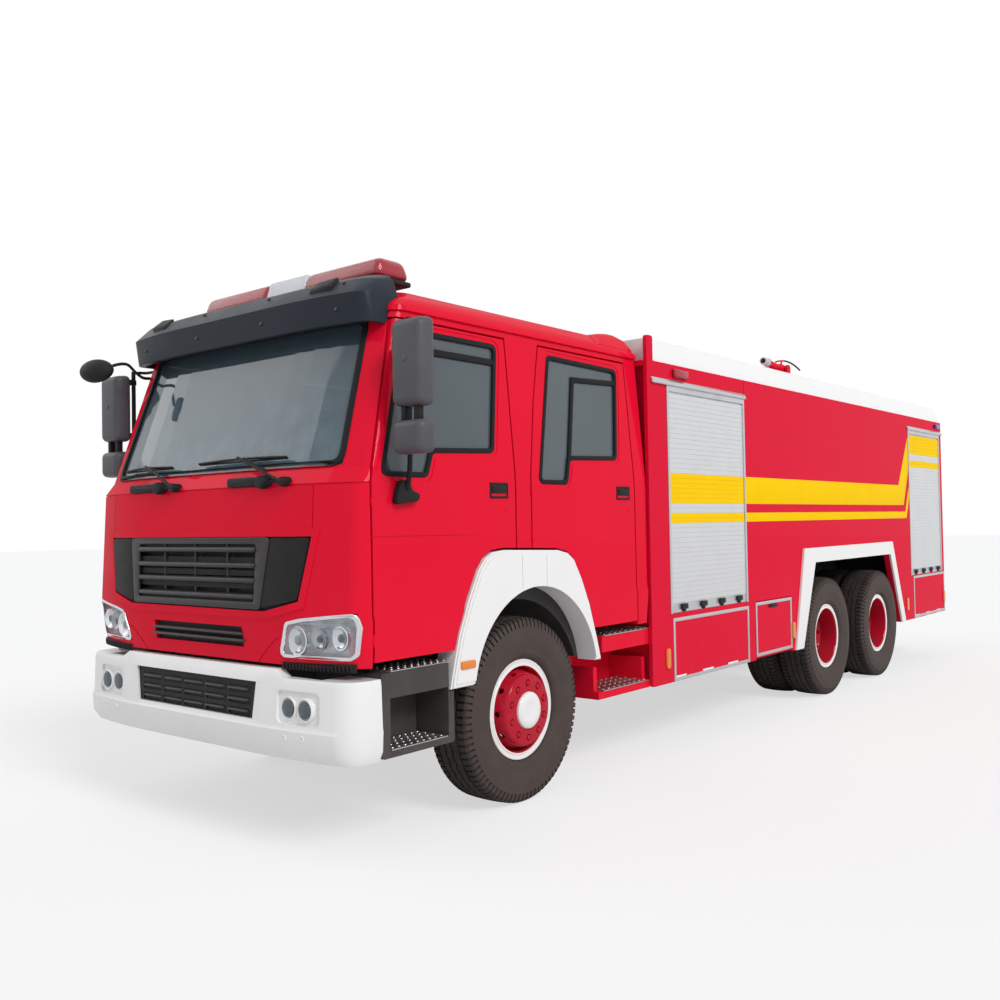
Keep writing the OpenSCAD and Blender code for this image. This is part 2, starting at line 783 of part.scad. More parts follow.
module roller_shutters() {
  color([0.70, 0.71, 0.72]) placed() {
    both() for (r = shutters) {
      box(shutter_x0, shutter_x1, r[SH_FRONT] + seat, r[SH_REAR] - seat,
          shutter_low_z + seat, shutter_top_z - seat);
      box(shutter_x1 - 1, body_hw - 2, r[SH_FRONT] + 20, r[SH_REAR] - 20,
          shutter_low_z + 4, shutter_low_z + 70);
      for (y = [r[SH_FRONT] + seat, r[SH_REAR] - 26 - seat])
        box(shutter_x0, body_hw + 6, y, y + 26, shutter_low_z + seat, shutter_top_z - seat);
      box(shutter_x0, body_hw + 6, r[SH_FRONT] + seat, r[SH_REAR] - seat,
          shutter_top_z - 40, shutter_top_z - seat);
    }
    box(-rear_shutter_hw + seat, rear_shutter_hw - seat, body_rear_y - 42, body_rear_y - 8,
        rear_shutter_low + seat, shutter_top_z - seat);
  }
}

module tail_lamps() {
  color([0.65, 0.03, 0.03]) placed() both()
    box(body_hw - 345 + seat, body_hw - 65 - seat, body_rear_y - 30, body_rear_y + 8,
        620 + seat, 760 - seat);
}

module body_floor() {
  tray_z = 960;
  tray_t = 40;
  tank_floor_z = 1420;
  x0 = frame_hw + 35;
  color([0.20, 0.20, 0.21]) placed() {
    box(-panel_in + seat, panel_in - seat, body_front_y + panel_t + seat, body_rear_y - panel_t - seat,
        tank_floor_z, tank_floor_z + 40);
    both() for (r = [[body_front_y + panel_t + seat, 2930],
                     [body_rear_y - 1340, body_rear_y - panel_t - seat]]) {
      box(x0, panel_in - seat, r[0], r[1], tray_z, tray_z + tray_t);
      box(x0, x0 + 40, r[0], r[1], tray_z + tray_t + seat, tank_floor_z - seat);
    }
    both() for (y = [2890, body_rear_y - 1340])
      box(x0 + 40 + seat, panel_in - seat, y, y + 40, tray_z + tray_t + seat, tank_floor_z - seat);
    both() box(rail_in, frame_hw, body_front_y + panel_t + 20, body_rear_y - 160,
               frame_top, tank_floor_z - seat);
  }
}

module body_roof() {
  wall = 40;
  rear_slope = [[0, deck_z - 60], [body_rear_y - 5, deck_z - 60], [body_rear_y - 5, deck_z],
                [body_rear_y - 95, coaming_z], [0, coaming_z]];
  color([0.90, 0.90, 0.89]) placed() {
    box(-panel_in + seat, panel_in - seat, body_front_y + panel_t + seat, body_rear_y - panel_t - seat,
        side_top_z - 40, deck_z);
    intersection() {
      difference() {
        prism_y(body_front_y + 30, body_rear_y) polygon([
          [-body_hw + 14, side_top_z], [body_hw - 14, side_top_z],
          [body_hw - 50, coaming_z], [-body_hw + 50, coaming_z]
        ]);
        box(-body_hw + 50 + wall, body_hw - 50 - wall,
            body_front_y + 30 + wall, body_rear_y - 95 - wall,
            side_top_z - 1, coaming_z + 1);
      }
      prism_x(-1300, 1300) polygon(rear_slope);
    }
  }
}

module flap(s) {
  color([0.72, 0.05, 0.05]) placed() on_side(s) difference() {
    union() {
      box(body_hw - flap_t, body_hw, flap_y0, flap_y1, flap_axis_z, flap_z1);
      rod_y(flap_axis_x, flap_y0, flap_y1, flap_axis_z, flap_t / 2);
    }
    for (y = [flap_y0 - 1, flap_y1 - flap_pin - 4])
      rod_y(flap_axis_x, y, y + flap_pin + 5, flap_axis_z, flap_pin_r + run_fit);
  }
}
module flap_left() flap(1);
module flap_right() flap(-1);

module rear_ladder() {
  rail_xs = [-body_hw + 195, -body_hw + 555];
  rail_y = body_rear_y + ladder_reach - 16;
  color([0.72, 0.73, 0.74]) placed() {
    for (x = rail_xs) {
      rod_z(x, rail_y, 700, coaming_z + 60, 16);
      for (z = [860, 1700, 2700]) rod_y(x, body_rear_y + seat, rail_y, z, 12);
    }
    for (z = [820:280:2900]) rod_x(rail_xs[0], rail_xs[1], rail_y, z, 13);
  }
}

// Roof monitor

spigot_r = 50;
riser_top_z = monitor_z - 300;
trunnion_r = 26;
module monitor_base() {
  color([0.72, 0.05, 0.05]) placed() {
    rod_z(0, monitor_y, deck_z, deck_z + 30, 130);
    rod_z(0, monitor_y, deck_z, riser_top_z, 62);
    rod_z(0, monitor_y, deck_z, riser_top_z + 60, spigot_r);
  }
}
module monitor_head() {
  color([0.72, 0.05, 0.05]) placed() difference() {
    union() {
      rod_z(0, monitor_y, riser_top_z + 2, riser_top_z + 100, 78);
      both() box(70, 100, monitor_y - 45, monitor_y + 45, riser_top_z + 30, monitor_z);
      both() rod_x(70, 100, monitor_y, monitor_z, 45);
      box(-100, 100, monitor_y - 45, monitor_y + 45, riser_top_z + 30, riser_top_z + 100);
    }
    rod_z(0, monitor_y, riser_top_z - 10, riser_top_z + 66, spigot_r + run_fit);
    rod_x(-200, 200, monitor_y, monitor_z, trunnion_r + run_fit);
  }
}
module monitor_barrel() {
  nose = 480;
  bore_r = 32;
  arc_r = 1170;
  color([0.72, 0.05, 0.05]) placed() {
    rod_x(-98, 98, monitor_y, monitor_z, trunnion_r);
    translate([0, monitor_y, monitor_z]) rotate([90 - 6, 0, 0]) rotate_extrude() polygon([
      [0, -58], [40, -58], [62, -30], [62, 34], [barrel_r, 70], [barrel_r, nose - 130],
      [barrel_r + 12, nose - 118], [barrel_r, nose], [bore_r, nose], [bore_r, nose - 100], [0, nose - 100]
    ]);
    translate([0, monitor_y + 170, monitor_z + 115 - arc_r]) rotate([90, 0, 90])
      rotate_extrude(angle = 34, start = 71, $fn = 180) translate([arc_r, 0]) circle(10, $fn = 24);
    rod_z(0, monitor_y - 190, monitor_z + 10, monitor_z + 58, 10);
    rod_z(0, monitor_y + 20, monitor_z + 10, monitor_z + 106, 10);
  }
}

// Chassis

module chassis_frame() {
  web = 8;
  rear_end = body_rear_y - 150;
  color([0.08, 0.08, 0.09]) placed() {
    both() difference() {
      prism_y(rail_front_y, rear_end) translate([rail_in, rail_low]) square([rail_flange, rail_h]);
      prism_y(rail_front_y - 10, rear_end + 10) translate([rail_in - 1, rail_low + web])
        square([rail_flange - web + 1, rail_h - 2 * web]);
    }
    for (y = [rail_front_y + 10, 1250, 2600, mid_y - 700, mid_y + tandem / 2, rear_y + 600, rear_end - 60])
      box(-frame_hw + web + seat, frame_hw - web - seat, y, y + 60, 850, frame_top - web - seat);
    both() for (y = [-850, 850])
      box(rail_in + 20, frame_hw, y - 40, y + 40, 700.5 + seat, rail_low - seat);
    both() {
      box(frame_hw + 12 + seat, frame_hw + 115, mid_y + tandem / 2 - 110, mid_y + tandem / 2 + 110,
          520, 745);
      box(frame_hw + seat, frame_hw + 12, mid_y + tandem / 2 - 110, mid_y + tandem / 2 + 110, 520, 860);
    }
    difference() {
      box(-70, 70, rear_end + seat, rear_end + 110, 820, 960);
      box(-80, 80, rear_end + 20, rear_end + 120, 865, 915);
      rod_z(0, rear_end + 60, 800, 980, 20);
    }
  }
}

leaf_w = 86;
module leaf(y0, y1, x, half, rise, z0, t, sign) {
  yc = (y0 + y1) / 2;
  n = 10;
  share = pow(half / ((y1 - y0) / 2), 2);
  low = [for (i = [-n:n]) [yc + half * i / n, z0 + rise * sign * share * pow(i / n, 2)]];
  high = [for (i = [n:-1:-n]) [yc + half * i / n, z0 + t + rise * sign * share * pow(i / n, 2)]];
  prism_x(x - leaf_w / 2, x + leaf_w / 2) polygon(concat(low, high));
}
module leaf_springs() {
  front_x = (rail_in + 20 + frame_hw) / 2;
  rear_x = frame_hw + 62;
  color([0.09, 0.09, 0.10]) placed() both() {
    for (i = [0:3]) leaf(-880, 880, front_x, 880 - i * 190, 84, 588 - i * 14 + 14, 14.5, 1);
    for (i = [0:5])
      leaf(mid_y - 60, rear_y + 60, rear_x, tandem / 2 + 60 - i * 90, -100, 764 + i * 14, 14.5, 1);
    box(rear_x - leaf_w / 2, rear_x + leaf_w / 2, mid_y + tandem / 2 - 90, mid_y + tandem / 2 + 90,
        745 + seat, 770);
  }
}

pad_z = 764 - 100 * pow((tandem / 2 + 35) / (tandem / 2 + 60), 2) - seat;
beam_z = wheel_r - 60;
pin_r = 22;
eye_h = 90;
// Rear axle housing as radius and distance along the axle
housing_half = [[60, 1010], [60, 790], [82, 780], [82, 230], [120, 180], [165, 115], [186, 45]];
housing_pts = concat([[0, housing_half[0][1]]], housing_half,
                     [for (i = [len(housing_half) - 1:-1:0]) [housing_half[i][0], -housing_half[i][1]]],
                     [[0, -housing_half[0][1]]]);
module axles() {
  color([0.08, 0.08, 0.09]) placed() {
    both() {
      rod_z(king_pin_x, 0, wheel_r - eye_h / 2, wheel_r + eye_h / 2, 46);
      rod_z(king_pin_x, 0, wheel_r - 108, wheel_r + 108, pin_r);
      prism_y(-42, 42) polygon([
        [-1, beam_z - 55], [520, beam_z - 55], [king_pin_x - 60, wheel_r - 40],
        [king_pin_x - 20, wheel_r - 40],
        [king_pin_x - 20, wheel_r + 42], [620, beam_z + 55], [-1, beam_z + 55]
      ]);
      box(345, 450, -60, 60, beam_z + 20, 560 - seat);
    }
    for (y = [mid_y, rear_y]) {
      translate([0, y, wheel_r]) rotate([0, 90, 0]) rotate_extrude() polygon(housing_pts);
      both() box(frame_hw + 10, frame_hw + 114, y - 35, y + 35, wheel_r + 40, pad_z);
    }
  }
}

module engine() {
  color([0.30, 0.30, 0.31]) placed() {
    box(-315, 315, -1140 + seat, 160, 620, 1262);
    box(-330, 330, -1290, -1140, 720, 1270);
    rod_y(0, 160 + seat, 1000, 860, 210);
    rod_y(0, 1000 + seat, mid_y - 200, 760, 60);
    both() for (y = [-500, 20]) box(315 + seat, frame_hw - 20, y, y + 90, frame_top, 1085);
  }
}

module fuel_tank() {
  color([0.70, 0.71, 0.72]) placed() {
    rod_y(tank_x, body_front_y + panel_t + 30, 2600, 700, 245);
    for (y = [1600, 2400]) box(frame_hw + seat, tank_x - 190, y, y + 60, 780, 860);
  }
}

// Steering

arm_y = 240;
arm_z = 452;
tie_pin_r = 12;
module knuckle(s) {
  spindle_r = 45;
  color([0.10, 0.10, 0.11]) placed() on_side(s) {
    difference() {
      union() {
        for (z = [[wheel_r + eye_h / 2 + 2, wheel_r + 110], [wheel_r - 110, wheel_r - eye_h / 2 - 2]])
          rod_z(king_pin_x, 0, z[0], z[1], 44);
        box(king_pin_x, king_pin_x + 66, -44, 44, wheel_r + eye_h / 2 + 2, wheel_r + 110);
        box(king_pin_x, king_pin_x + 66, -44, 44, wheel_r - 110, wheel_r - eye_h / 2 - 2);
        rod_x(king_pin_x + 52, king_pin_x + 66, 0, wheel_r, 150);
        rod_x(king_pin_x + 60, front_half_track + 110, 0, wheel_r, spindle_r);
        box(king_pin_x - 22, king_pin_x + 22, 0, arm_y, arm_z, arm_z + 36);
        rod_z(king_pin_x, arm_y, arm_z, arm_z + 36, 30);
      }
      rod_z(king_pin_x, 0, wheel_r - 200, wheel_r + 200, pin_r + run_fit);
      rod_z(king_pin_x, arm_y, arm_z - 10, arm_z + 50, tie_pin_r + run_fit);
    }
  }
}
module knuckle_left() knuckle(1);
module knuckle_right() knuckle(-1);
module tie_rod() {
  rod_z0 = arm_z - 40;
  color([0.10, 0.10, 0.11]) placed() {
    rod_x(-king_pin_x, king_pin_x, arm_y, rod_z0, 20);
    both() rod_z(king_pin_x, arm_y, rod_z0 - 24, arm_z - 6, 28);
    both() rod_z(king_pin_x, arm_y, rod_z0, arm_z + 34, tie_pin_r);
  }
}

// Wheels, turned about z and then laid along x

tyre_bead_half = 104;
module tyre_ring() {
  r0 = rim_seat_d / 2 + seat;
  rf = rim_flange_d / 2;
  w = tyre_w / 2;
  outer = [
    [r0, tyre_bead_half - seat], [rf + 4, tyre_bead_half - seat], [rf + 8, 0.82 * w],
    [rf + 60, 0.95 * w], [rf + 125, w], [rf + 185, 0.955 * w], [wheel_r - 26, 0.86 * w],
    [wheel_r - 9, 0.76 * w], [wheel_r - 3, 0.6 * w], [wheel_r, 0.25 * w]
  ];
  inner = [
    [r0, 70], [rf + 10, 0.66 * w], [rf + 120, 0.82 * w], [wheel_r - 50, 0.66 * w], [wheel_r - 26, 0.3 * w]
  ];
  n = len(outer);
  m = len(inner);
  rotate_extrude($fn = 96) polygon(concat(
    outer, [for (i = [n - 1:-1:0]) [outer[i][0], -outer[i][1]]],
    [for (i = [0:m - 1]) [inner[i][0], -inner[i][1]]], [for (i = [m - 1:-1:0]) inner[i]]
  ));
}
module tyre_at(s, y, xs) {
  color([0.035, 0.035, 0.037]) placed() on_side(s)
    for (x = xs) translate([x, y, wheel_r]) rotate([0, 90, 0]) tyre_ring();
}
rim_t = 13;
module rim_barrel() {
  r = rim_seat_d / 2;
  translate([r - rim_t, -tyre_bead_half]) square([rim_t, 2 * tyre_bead_half]);
  for (y = [-tyre_bead_half - 11, tyre_bead_half])
    translate([r - rim_t, y]) square([rim_flange_d / 2 - r + rim_t, 11]);
}
hand_holes = 10;
module rim_front(s) {
  r = rim_seat_d / 2;
  color([0.66, 0.05, 0.05]) placed() on_side(s)
    translate([front_half_track, 0, wheel_r]) rotate([0, 90, 0]) difference() {
    union() {
      rotate_extrude($fn = 96) {
        rim_barrel();
        polygon([[r - rim_t + 1, 40], [r - rim_t + 1, 54], [200, 165], [130, 165], [130, 150], [190, 150]]);
        translate([45 + run_fit, -118]) square([85, 283]);
        translate([60, -118]) square([140, 100]);
        translate([0, 160]) square([104, 62]);
      }
      for (i = [0:nut_count - 1]) rotate([0, 0, i * 360 / nut_count]) translate([168, 0, 160])
        cylinder(h = 32, r = 17, $fn = 6);
    }
    for (i = [0:hand_holes - 1]) rotate([0, 0, (i + 0.5) * 360 / hand_holes]) translate([222, 0, 105])
      rotate([0, 60, 0]) translate([0, 0, -60]) cylinder(h = 120, r = 24, $fn = 32);
  }
}
module rims_twin(s, y) {
  r = rim_seat_d / 2;
  h = twin_pitch / 2;
  color([0.66, 0.05, 0.05]) placed() on_side(s)
    translate([rear_half_track, y, wheel_r]) rotate([0, 90, 0]) difference() {
    union() {
      rotate_extrude($fn = 96) {
        for (d = [-1, 1]) translate([0, d * h]) rim_barrel();
        for (d = [0, 1]) mirror([0, d]) polygon([
          [r - rim_t + 1, h - 60], [r - rim_t + 1, h - 46], [190, 16], [120, 16], [120, 0], [195, 0]
        ]);
        translate([60 + run_fit, -120]) square([75, 250]);
        translate([75, -120]) square([120, 100]);
        translate([0, 122]) square([118, 34]);
      }
      for (i = [0:nut_count - 1]) rotate([0, 0, i * 360 / nut_count]) translate([168, 0, 10])
        cylinder(h = 38, r = 17, $fn = 6);
    }
    for (i = [0:hand_holes - 1]) rotate([0, 0, (i + 0.5) * 360 / hand_holes]) translate([222, 0, -150])
      cylinder(h = 300, r = 18, $fn = 32);
  }
}
twin_xs = [rear_half_track - twin_pitch / 2, rear_half_track + twin_pitch / 2];
module tyre_front_left() tyre_at(1, 0, [front_half_track]);
module tyre_front_right() tyre_at(-1, 0, [front_half_track]);
module rim_front_left() rim_front(1);
module rim_front_right() rim_front(-1);
module tyres_mid_left() tyre_at(1, mid_y, twin_xs);
module tyres_mid_right() tyre_at(-1, mid_y, twin_xs);
module rims_mid_left() rims_twin(1, mid_y);
module rims_mid_right() rims_twin(-1, mid_y);
module tyres_rear_left() tyre_at(1, rear_y, twin_xs);
module tyres_rear_right() tyre_at(-1, rear_y, twin_xs);
module rims_rear_left() rims_twin(1, rear_y);
module rims_rear_right() rims_twin(-1, rear_y);

chassis_frame();
axles();
leaf_springs();
engine();
fuel_tank();
bumper();
grilles();
lamps();
tail_lamps();
front_steps();
crew_steps();
cab_floor();
cab_front();
cab_pillars();
cab_back();
cab_roof();
windscreen();
sun_visor();
light_bar();
front_mirror();
cab_interior();
wheel_arches();
body_floor();
body_sides();
body_ends();
body_roof();
roller_shutters();
rear_ladder();
monitor_base();
monitor_head();
monitor_barrel();
knuckle_left();
knuckle_right();
tie_rod();
door_front_left();
door_front_right();
door_rear_left();
door_rear_right();
glass_front_left();
glass_front_right();
glass_rear_left();
glass_rear_right();
mirror_left();
mirror_right();
flap_left();
flap_right();
tyre_front_left();
rim_front_left();
tyre_front_right();
rim_front_right();
tyres_mid_left();
rims_mid_left();
tyres_mid_right();
rims_mid_right();
tyres_rear_left();
rims_rear_left();
tyres_rear_right();
rims_rear_right();
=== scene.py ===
import bmesh
import bpy
import json
import math
from mathutils import Matrix, Vector

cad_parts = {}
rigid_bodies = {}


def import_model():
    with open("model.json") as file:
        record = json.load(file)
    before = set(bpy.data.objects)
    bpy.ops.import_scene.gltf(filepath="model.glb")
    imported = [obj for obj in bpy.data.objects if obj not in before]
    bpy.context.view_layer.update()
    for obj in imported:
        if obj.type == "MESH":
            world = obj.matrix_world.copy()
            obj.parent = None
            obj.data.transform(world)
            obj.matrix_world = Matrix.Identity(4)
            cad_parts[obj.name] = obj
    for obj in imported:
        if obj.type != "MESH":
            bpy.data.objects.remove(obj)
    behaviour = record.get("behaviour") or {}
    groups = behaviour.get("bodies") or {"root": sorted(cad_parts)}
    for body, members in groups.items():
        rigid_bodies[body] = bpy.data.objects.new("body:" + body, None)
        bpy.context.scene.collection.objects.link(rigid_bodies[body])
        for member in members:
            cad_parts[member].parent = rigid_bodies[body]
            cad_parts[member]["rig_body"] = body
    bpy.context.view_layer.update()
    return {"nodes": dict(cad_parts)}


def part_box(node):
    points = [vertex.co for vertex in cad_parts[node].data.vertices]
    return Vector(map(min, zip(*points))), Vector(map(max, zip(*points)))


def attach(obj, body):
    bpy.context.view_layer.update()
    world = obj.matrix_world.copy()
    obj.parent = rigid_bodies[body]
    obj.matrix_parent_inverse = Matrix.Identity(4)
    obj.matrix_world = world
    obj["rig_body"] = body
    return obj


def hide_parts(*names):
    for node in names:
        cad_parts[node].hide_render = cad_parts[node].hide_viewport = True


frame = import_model()

# The standpoint: a camera at eye height before the truck's front left corner, a pale
# floor, an even white sky, a broad lamp high on the truck's left and a weaker one on its right.
bpy.context.scene.view_settings.view_transform = "Standard"


def let_go():
    if bpy.context.object and bpy.context.object.mode != "OBJECT":
        bpy.ops.object.mode_set(mode="OBJECT")
    bpy.ops.object.select_all(action="DESELECT")


def add(tree, kind, inputs, **settings):
    made = tree.nodes.new("ShaderNode" + kind)
    for key, value in settings.items():
        setattr(made, key, value)
    for key, value in inputs.items():
        if isinstance(value, bpy.types.NodeSocket):
            tree.links.new(value, made.inputs[key])
        else:
            made.inputs[key].default_value = value
    return made


let_go()
bpy.ops.object.camera_add()
camera = bpy.context.object
eye = (4.937, -8.2275, 1.678)
turn, tilt, roll = (math.radians(a) for a in (39.357, -1.306, -1.008))
back = Vector((math.sin(turn) * math.cos(tilt), -math.cos(turn) * math.cos(tilt), math.sin(tilt)))
level = Vector((math.cos(turn), math.sin(turn), 0))
over = back.cross(level)
across = level * math.cos(roll) + over * math.sin(roll)
upright = over * math.cos(roll) - level * math.sin(roll)
camera.matrix_world = Matrix.Translation(eye) @ Matrix((across, upright, back)).transposed().to_4x4()
camera.data.lens = 36.42
camera.data.sensor_width = 36
bpy.context.scene.camera = camera

for name, aim, strength, spread in [("main_lamp", (-0.78, 0.16, -0.62), 1.9, 24),
                                    ("side_lamp", (0.75, 0.35, -0.55), 0.45, 40)]:
    let_go()
    bpy.ops.object.light_add(type="SUN")
    lamp = bpy.context.object
    lamp.name = name
    lamp.rotation_mode = "QUATERNION"
    lamp.rotation_quaternion = Vector(aim).to_track_quat("-Z", "Y")
    lamp.data.energy = strength
    lamp.data.angle = math.radians(spread)

sky = bpy.context.scene.world or bpy.data.worlds.new("sky")
bpy.context.scene.world = sky
sky.use_nodes = True
sky.node_tree.nodes.clear()
tree = sky.node_tree
ray = add(tree, "LightPath", {}).outputs
seen = add(tree, "Math", {0: ray["Is Camera Ray"], 1: ray["Is Glossy Ray"]}, operation="MAXIMUM").outputs[0]
seen = add(tree, "Math", {0: seen, 1: ray["Is Transmission Ray"]}, operation="MAXIMUM").outputs[0]
dome = add(tree, "Background", {"Color": (0.93, 0.96, 1.0, 1), "Strength": 0.55})
white = add(tree, "Background", {"Color": (1, 1, 1, 1), "Strength": 1.0})
mixed = add(tree, "MixShader", {0: seen, 1: dome.outputs[0], 2: white.outputs[0]})
add(tree, "OutputWorld", {"Surface": mixed.outputs[0]})

let_go()
bpy.ops.mesh.primitive_plane_add(size=160, location=(0, 0, 0))
floor = bpy.context.object
floor.name = "floor"
pale = bpy.data.materials.new("pale_floor")
pale.use_nodes = True
tree = pale.node_tree
lit = tree.nodes["Principled BSDF"]
lit.inputs["Base Color"].default_value = (0.86, 0.86, 0.86, 1)
lit.inputs["Roughness"].default_value = 0.9
lit.inputs["Specular IOR Level"].default_value = 0.0
glow = add(tree, "Emission", {"Color": (1, 1, 1, 1), "Strength": 1.0})
ray = add(tree, "LightPath", {}).outputs
share = add(tree, "Math", {0: ray["Is Camera Ray"], 1: 0.62}, operation="MULTIPLY").outputs[0]
mixed = add(tree, "MixShader", {0: share, 1: lit.outputs[0], 2: glow.outputs[0]})
tree.links.new(mixed.outputs[0], tree.nodes["Material Output"].inputs["Surface"])
floor.data.materials.append(pale)

# The running gear: pressed steel rails with cross members, driven axles, leaf springs, engine
# and gearbox, all sprayed chassis black or bare cast iron, and an aluminium fuel tank.


def finish(name, colour, second, cloud, rough, metal=0.0, lacquer=0.0, grain=900.0, relief=0.0,
           dust=0.0, dust_top=1.3, wobble=0.06, dust_colour=(0.34, 0.28, 0.23), shine=0.22):
    """A coat of two close tones in clouds, with fine grain and a colour that thins out upwards: road dirt on
    most coats, painted shade on the windscreen.
    """
    made = bpy.data.materials.new(name)
    made.use_nodes = True
    tree = made.node_tree
    skin = tree.nodes["Principled BSDF"]
    place = add(tree, "TexCoord", {}).outputs["Object"]
    clouds = add(tree, "TexNoise", {"Vector": place, "Scale": cloud, "Detail": 4.0}).outputs["Fac"]
    tone = add(tree, "Mix", {0: clouds, 6: (*colour, 1), 7: (*second, 1)}, data_type="RGBA").outputs[2]
    # Low down a colour is mixed in that fades out above a height: road dirt on most coats, and on the
    # windscreen a paler tint that leaves painted shade at its top.
    if dust:
        height = add(tree, "SeparateXYZ", {"Vector": place}).outputs["Z"]
        fade = add(tree, "MapRange", {"Value": height, 1: dust_top, 2: 0.0, 3: 0.0, 4: dust}).outputs[0]
        spots = add(tree, "TexNoise", {"Vector": place, "Scale": 7.0, "Detail": 6.0}).outputs["Fac"]
        fade = add(tree, "Math", {0: fade, 1: spots}, operation="MULTIPLY").outputs[0]
        tone = add(tree, "Mix", {0: fade, 6: tone, 7: (*dust_colour, 1)}, data_type="RGBA").outputs[2]
    tree.links.new(tone, skin.inputs["Base Color"])
    gloss = add(tree, "MapRange", {"Value": clouds, 1: 0.3, 2: 0.7, 3: rough - wobble, 4: rough + wobble})
    tree.links.new(gloss.outputs[0], skin.inputs["Roughness"])
    if relief:
        pores = add(tree, "TexNoise", {"Vector": place, "Scale": grain, "Detail": 2.0}).outputs["Fac"]
        bump = add(tree, "Bump", {"Strength": relief, "Distance": 0.002, "Height": pores})
        tree.links.new(bump.outputs[0], skin.inputs["Normal"])
    skin.inputs["Metallic"].default_value = metal
    skin.inputs["Specular IOR Level"].default_value = shine
    skin.inputs["Coat Weight"].default_value = lacquer
    skin.inputs["Coat Roughness"].default_value = 0.04
    return made


def dress(node, coat):
    shown = frame["nodes"][node].data.materials
    shown.clear()
    shown.append(coat)


chassis_black = finish("chassis_black_paint", (0.020, 0.020, 0.022), (0.034, 0.033, 0.033), 6, 0.42,
                       relief=0.10, dust=0.35)
cast_iron = finish("cast_iron", (0.10, 0.10, 0.105), (0.16, 0.155, 0.15), 9, 0.55, metal=0.5,
                   relief=0.35, grain=260, dust=0.3)
tank_metal = finish("brushed_tank_metal", (0.62, 0.63, 0.64), (0.50, 0.51, 0.52), 5, 0.37, metal=1.0,
                    relief=0.05, grain=300, dust=0.25)
for node in ["chassis_frame", "axles", "leaf_springs", "knuckle_left", "knuckle_right", "tie_rod"]:
    dress(node, chassis_black)
dress("engine", cast_iron)
dress("fuel_tank", tank_metal)

# The tyres: rubber cases turned to the tyre's section, with zigzag ribs on the crown and
# notched shoulder lugs. One is modelled and the rest are copies, two side by side at the back.
axle_y, wheel_z = -3.4225, 0.555
axles = {"front": 0.0, "mid": 4.6, "rear": 6.0}
front_x, inner_x, outer_x = 1.020, 0.750, 1.090
tyre_steps, zigzags, weld_gap = 252, 42, 0.00005
lug_foot, tread_edge, tread_foot, crown = 0.496, 0.533, 0.536, 0.560
sway, sway_end, lug_from, lug_height = 0.007, 0.115, 0.083, 0.011


def hold(piece):
    """Lets go of everything else and takes hold of one piece."""
    let_go()
    bpy.context.view_layer.objects.active = piece
    piece.select_set(True)


def settle():
    """Writes the held piece's place, turn and size into its mesh."""
    bpy.ops.object.transform_apply(location=True, rotation=True, scale=True)


def drawn(name, runs, closed=True, dimensions="3D", **settings):
    """Runs of points laid as wires, thickened as the settings say and made a mesh."""
    wire = bpy.data.curves.new(name, "CURVE")
    wire.dimensions = dimensions
    for key, value in settings.items():
        setattr(wire, key, value)
    for points in runs:
        run = wire.splines.new("POLY")
        run.points.add(len(points) - 1)
        for spot, co in zip(run.points, points):
            spot.co = (*co, 1)
        run.use_cyclic_u = closed
    piece = bpy.data.objects.new(name, wire)
    bpy.context.scene.collection.objects.link(piece)
    hold(piece)
    bpy.ops.object.convert(target="MESH")
    return bpy.context.object


def open_up():
    """Opens the held piece for editing, with all of it chosen."""
    bpy.ops.object.mode_set(mode="EDIT")
    bpy.ops.mesh.select_all(action="SELECT")


def face_out(gap=0.0):
    """Joins the held piece's points across a gap and turns its faces outwards."""
    open_up()
    if gap:
        bpy.ops.mesh.remove_doubles(threshold=gap)
    bpy.ops.mesh.normals_make_consistent(inside=False)
    bpy.ops.object.mode_set(mode="OBJECT")


def smooth(piece, angle=32):
    hold(piece)
    bpy.ops.object.shade_smooth_by_angle(angle=math.radians(angle))
    return piece


def turned(name, section, steps=96):
    """A ring spun about the axle from rows of radius and distance along the axle."""
    piece = drawn(name, [[(x, 0, r) for r, x in section]])
    open_up()
    bpy.ops.mesh.spin(steps=steps, angle=2 * math.pi, center=(0, 0, 0), axis=(1, 0, 0))
    face_out(weld_gap)
    return smooth(piece)


def pick(piece, test):
    """Opens a piece for editing with only the faces chosen by their middle and normal."""
    hold(piece)
    bpy.ops.object.mode_set(mode="EDIT")
    bpy.ops.mesh.select_mode(type="FACE")
    bpy.ops.mesh.select_all(action="DESELECT")
    shape = bmesh.from_edit_mesh(piece.data)
    for face in shape.faces:
        face.select_set(bool(test(face.calc_center_median(), face.normal)))
    bmesh.update_edit_mesh(piece.data)


def twin(piece, name, shift=(0, 0, 0), flip=False):
    """A copy with its own mesh, moved, or handed over to the truck's other side."""
    let_go()
    made = piece.copy()
    made.data = piece.data.copy()
    made.name = name
    bpy.context.scene.collection.objects.link(made)
    hold(made)
    made.location = shift
    made.scale = (-1 if flip else 1, 1, 1)
    settle()
    if flip:
        face_out()
    return made


def from_axle(spot):
    return math.hypot(spot.y, spot.z)


def share_round(spot):
    """How far round the wheel a spot lies, from 0 to 1."""
    return math.atan2(spot.z, spot.y) / (2 * math.pi) % 1


def of_wheel(kind, axle, hand):
    """The name of a wheel's part or body: single in front, twins behind."""
    return f"{kind}_front_{hand}" if axle == "front" else f"{kind}s_{axle}_{hand}"


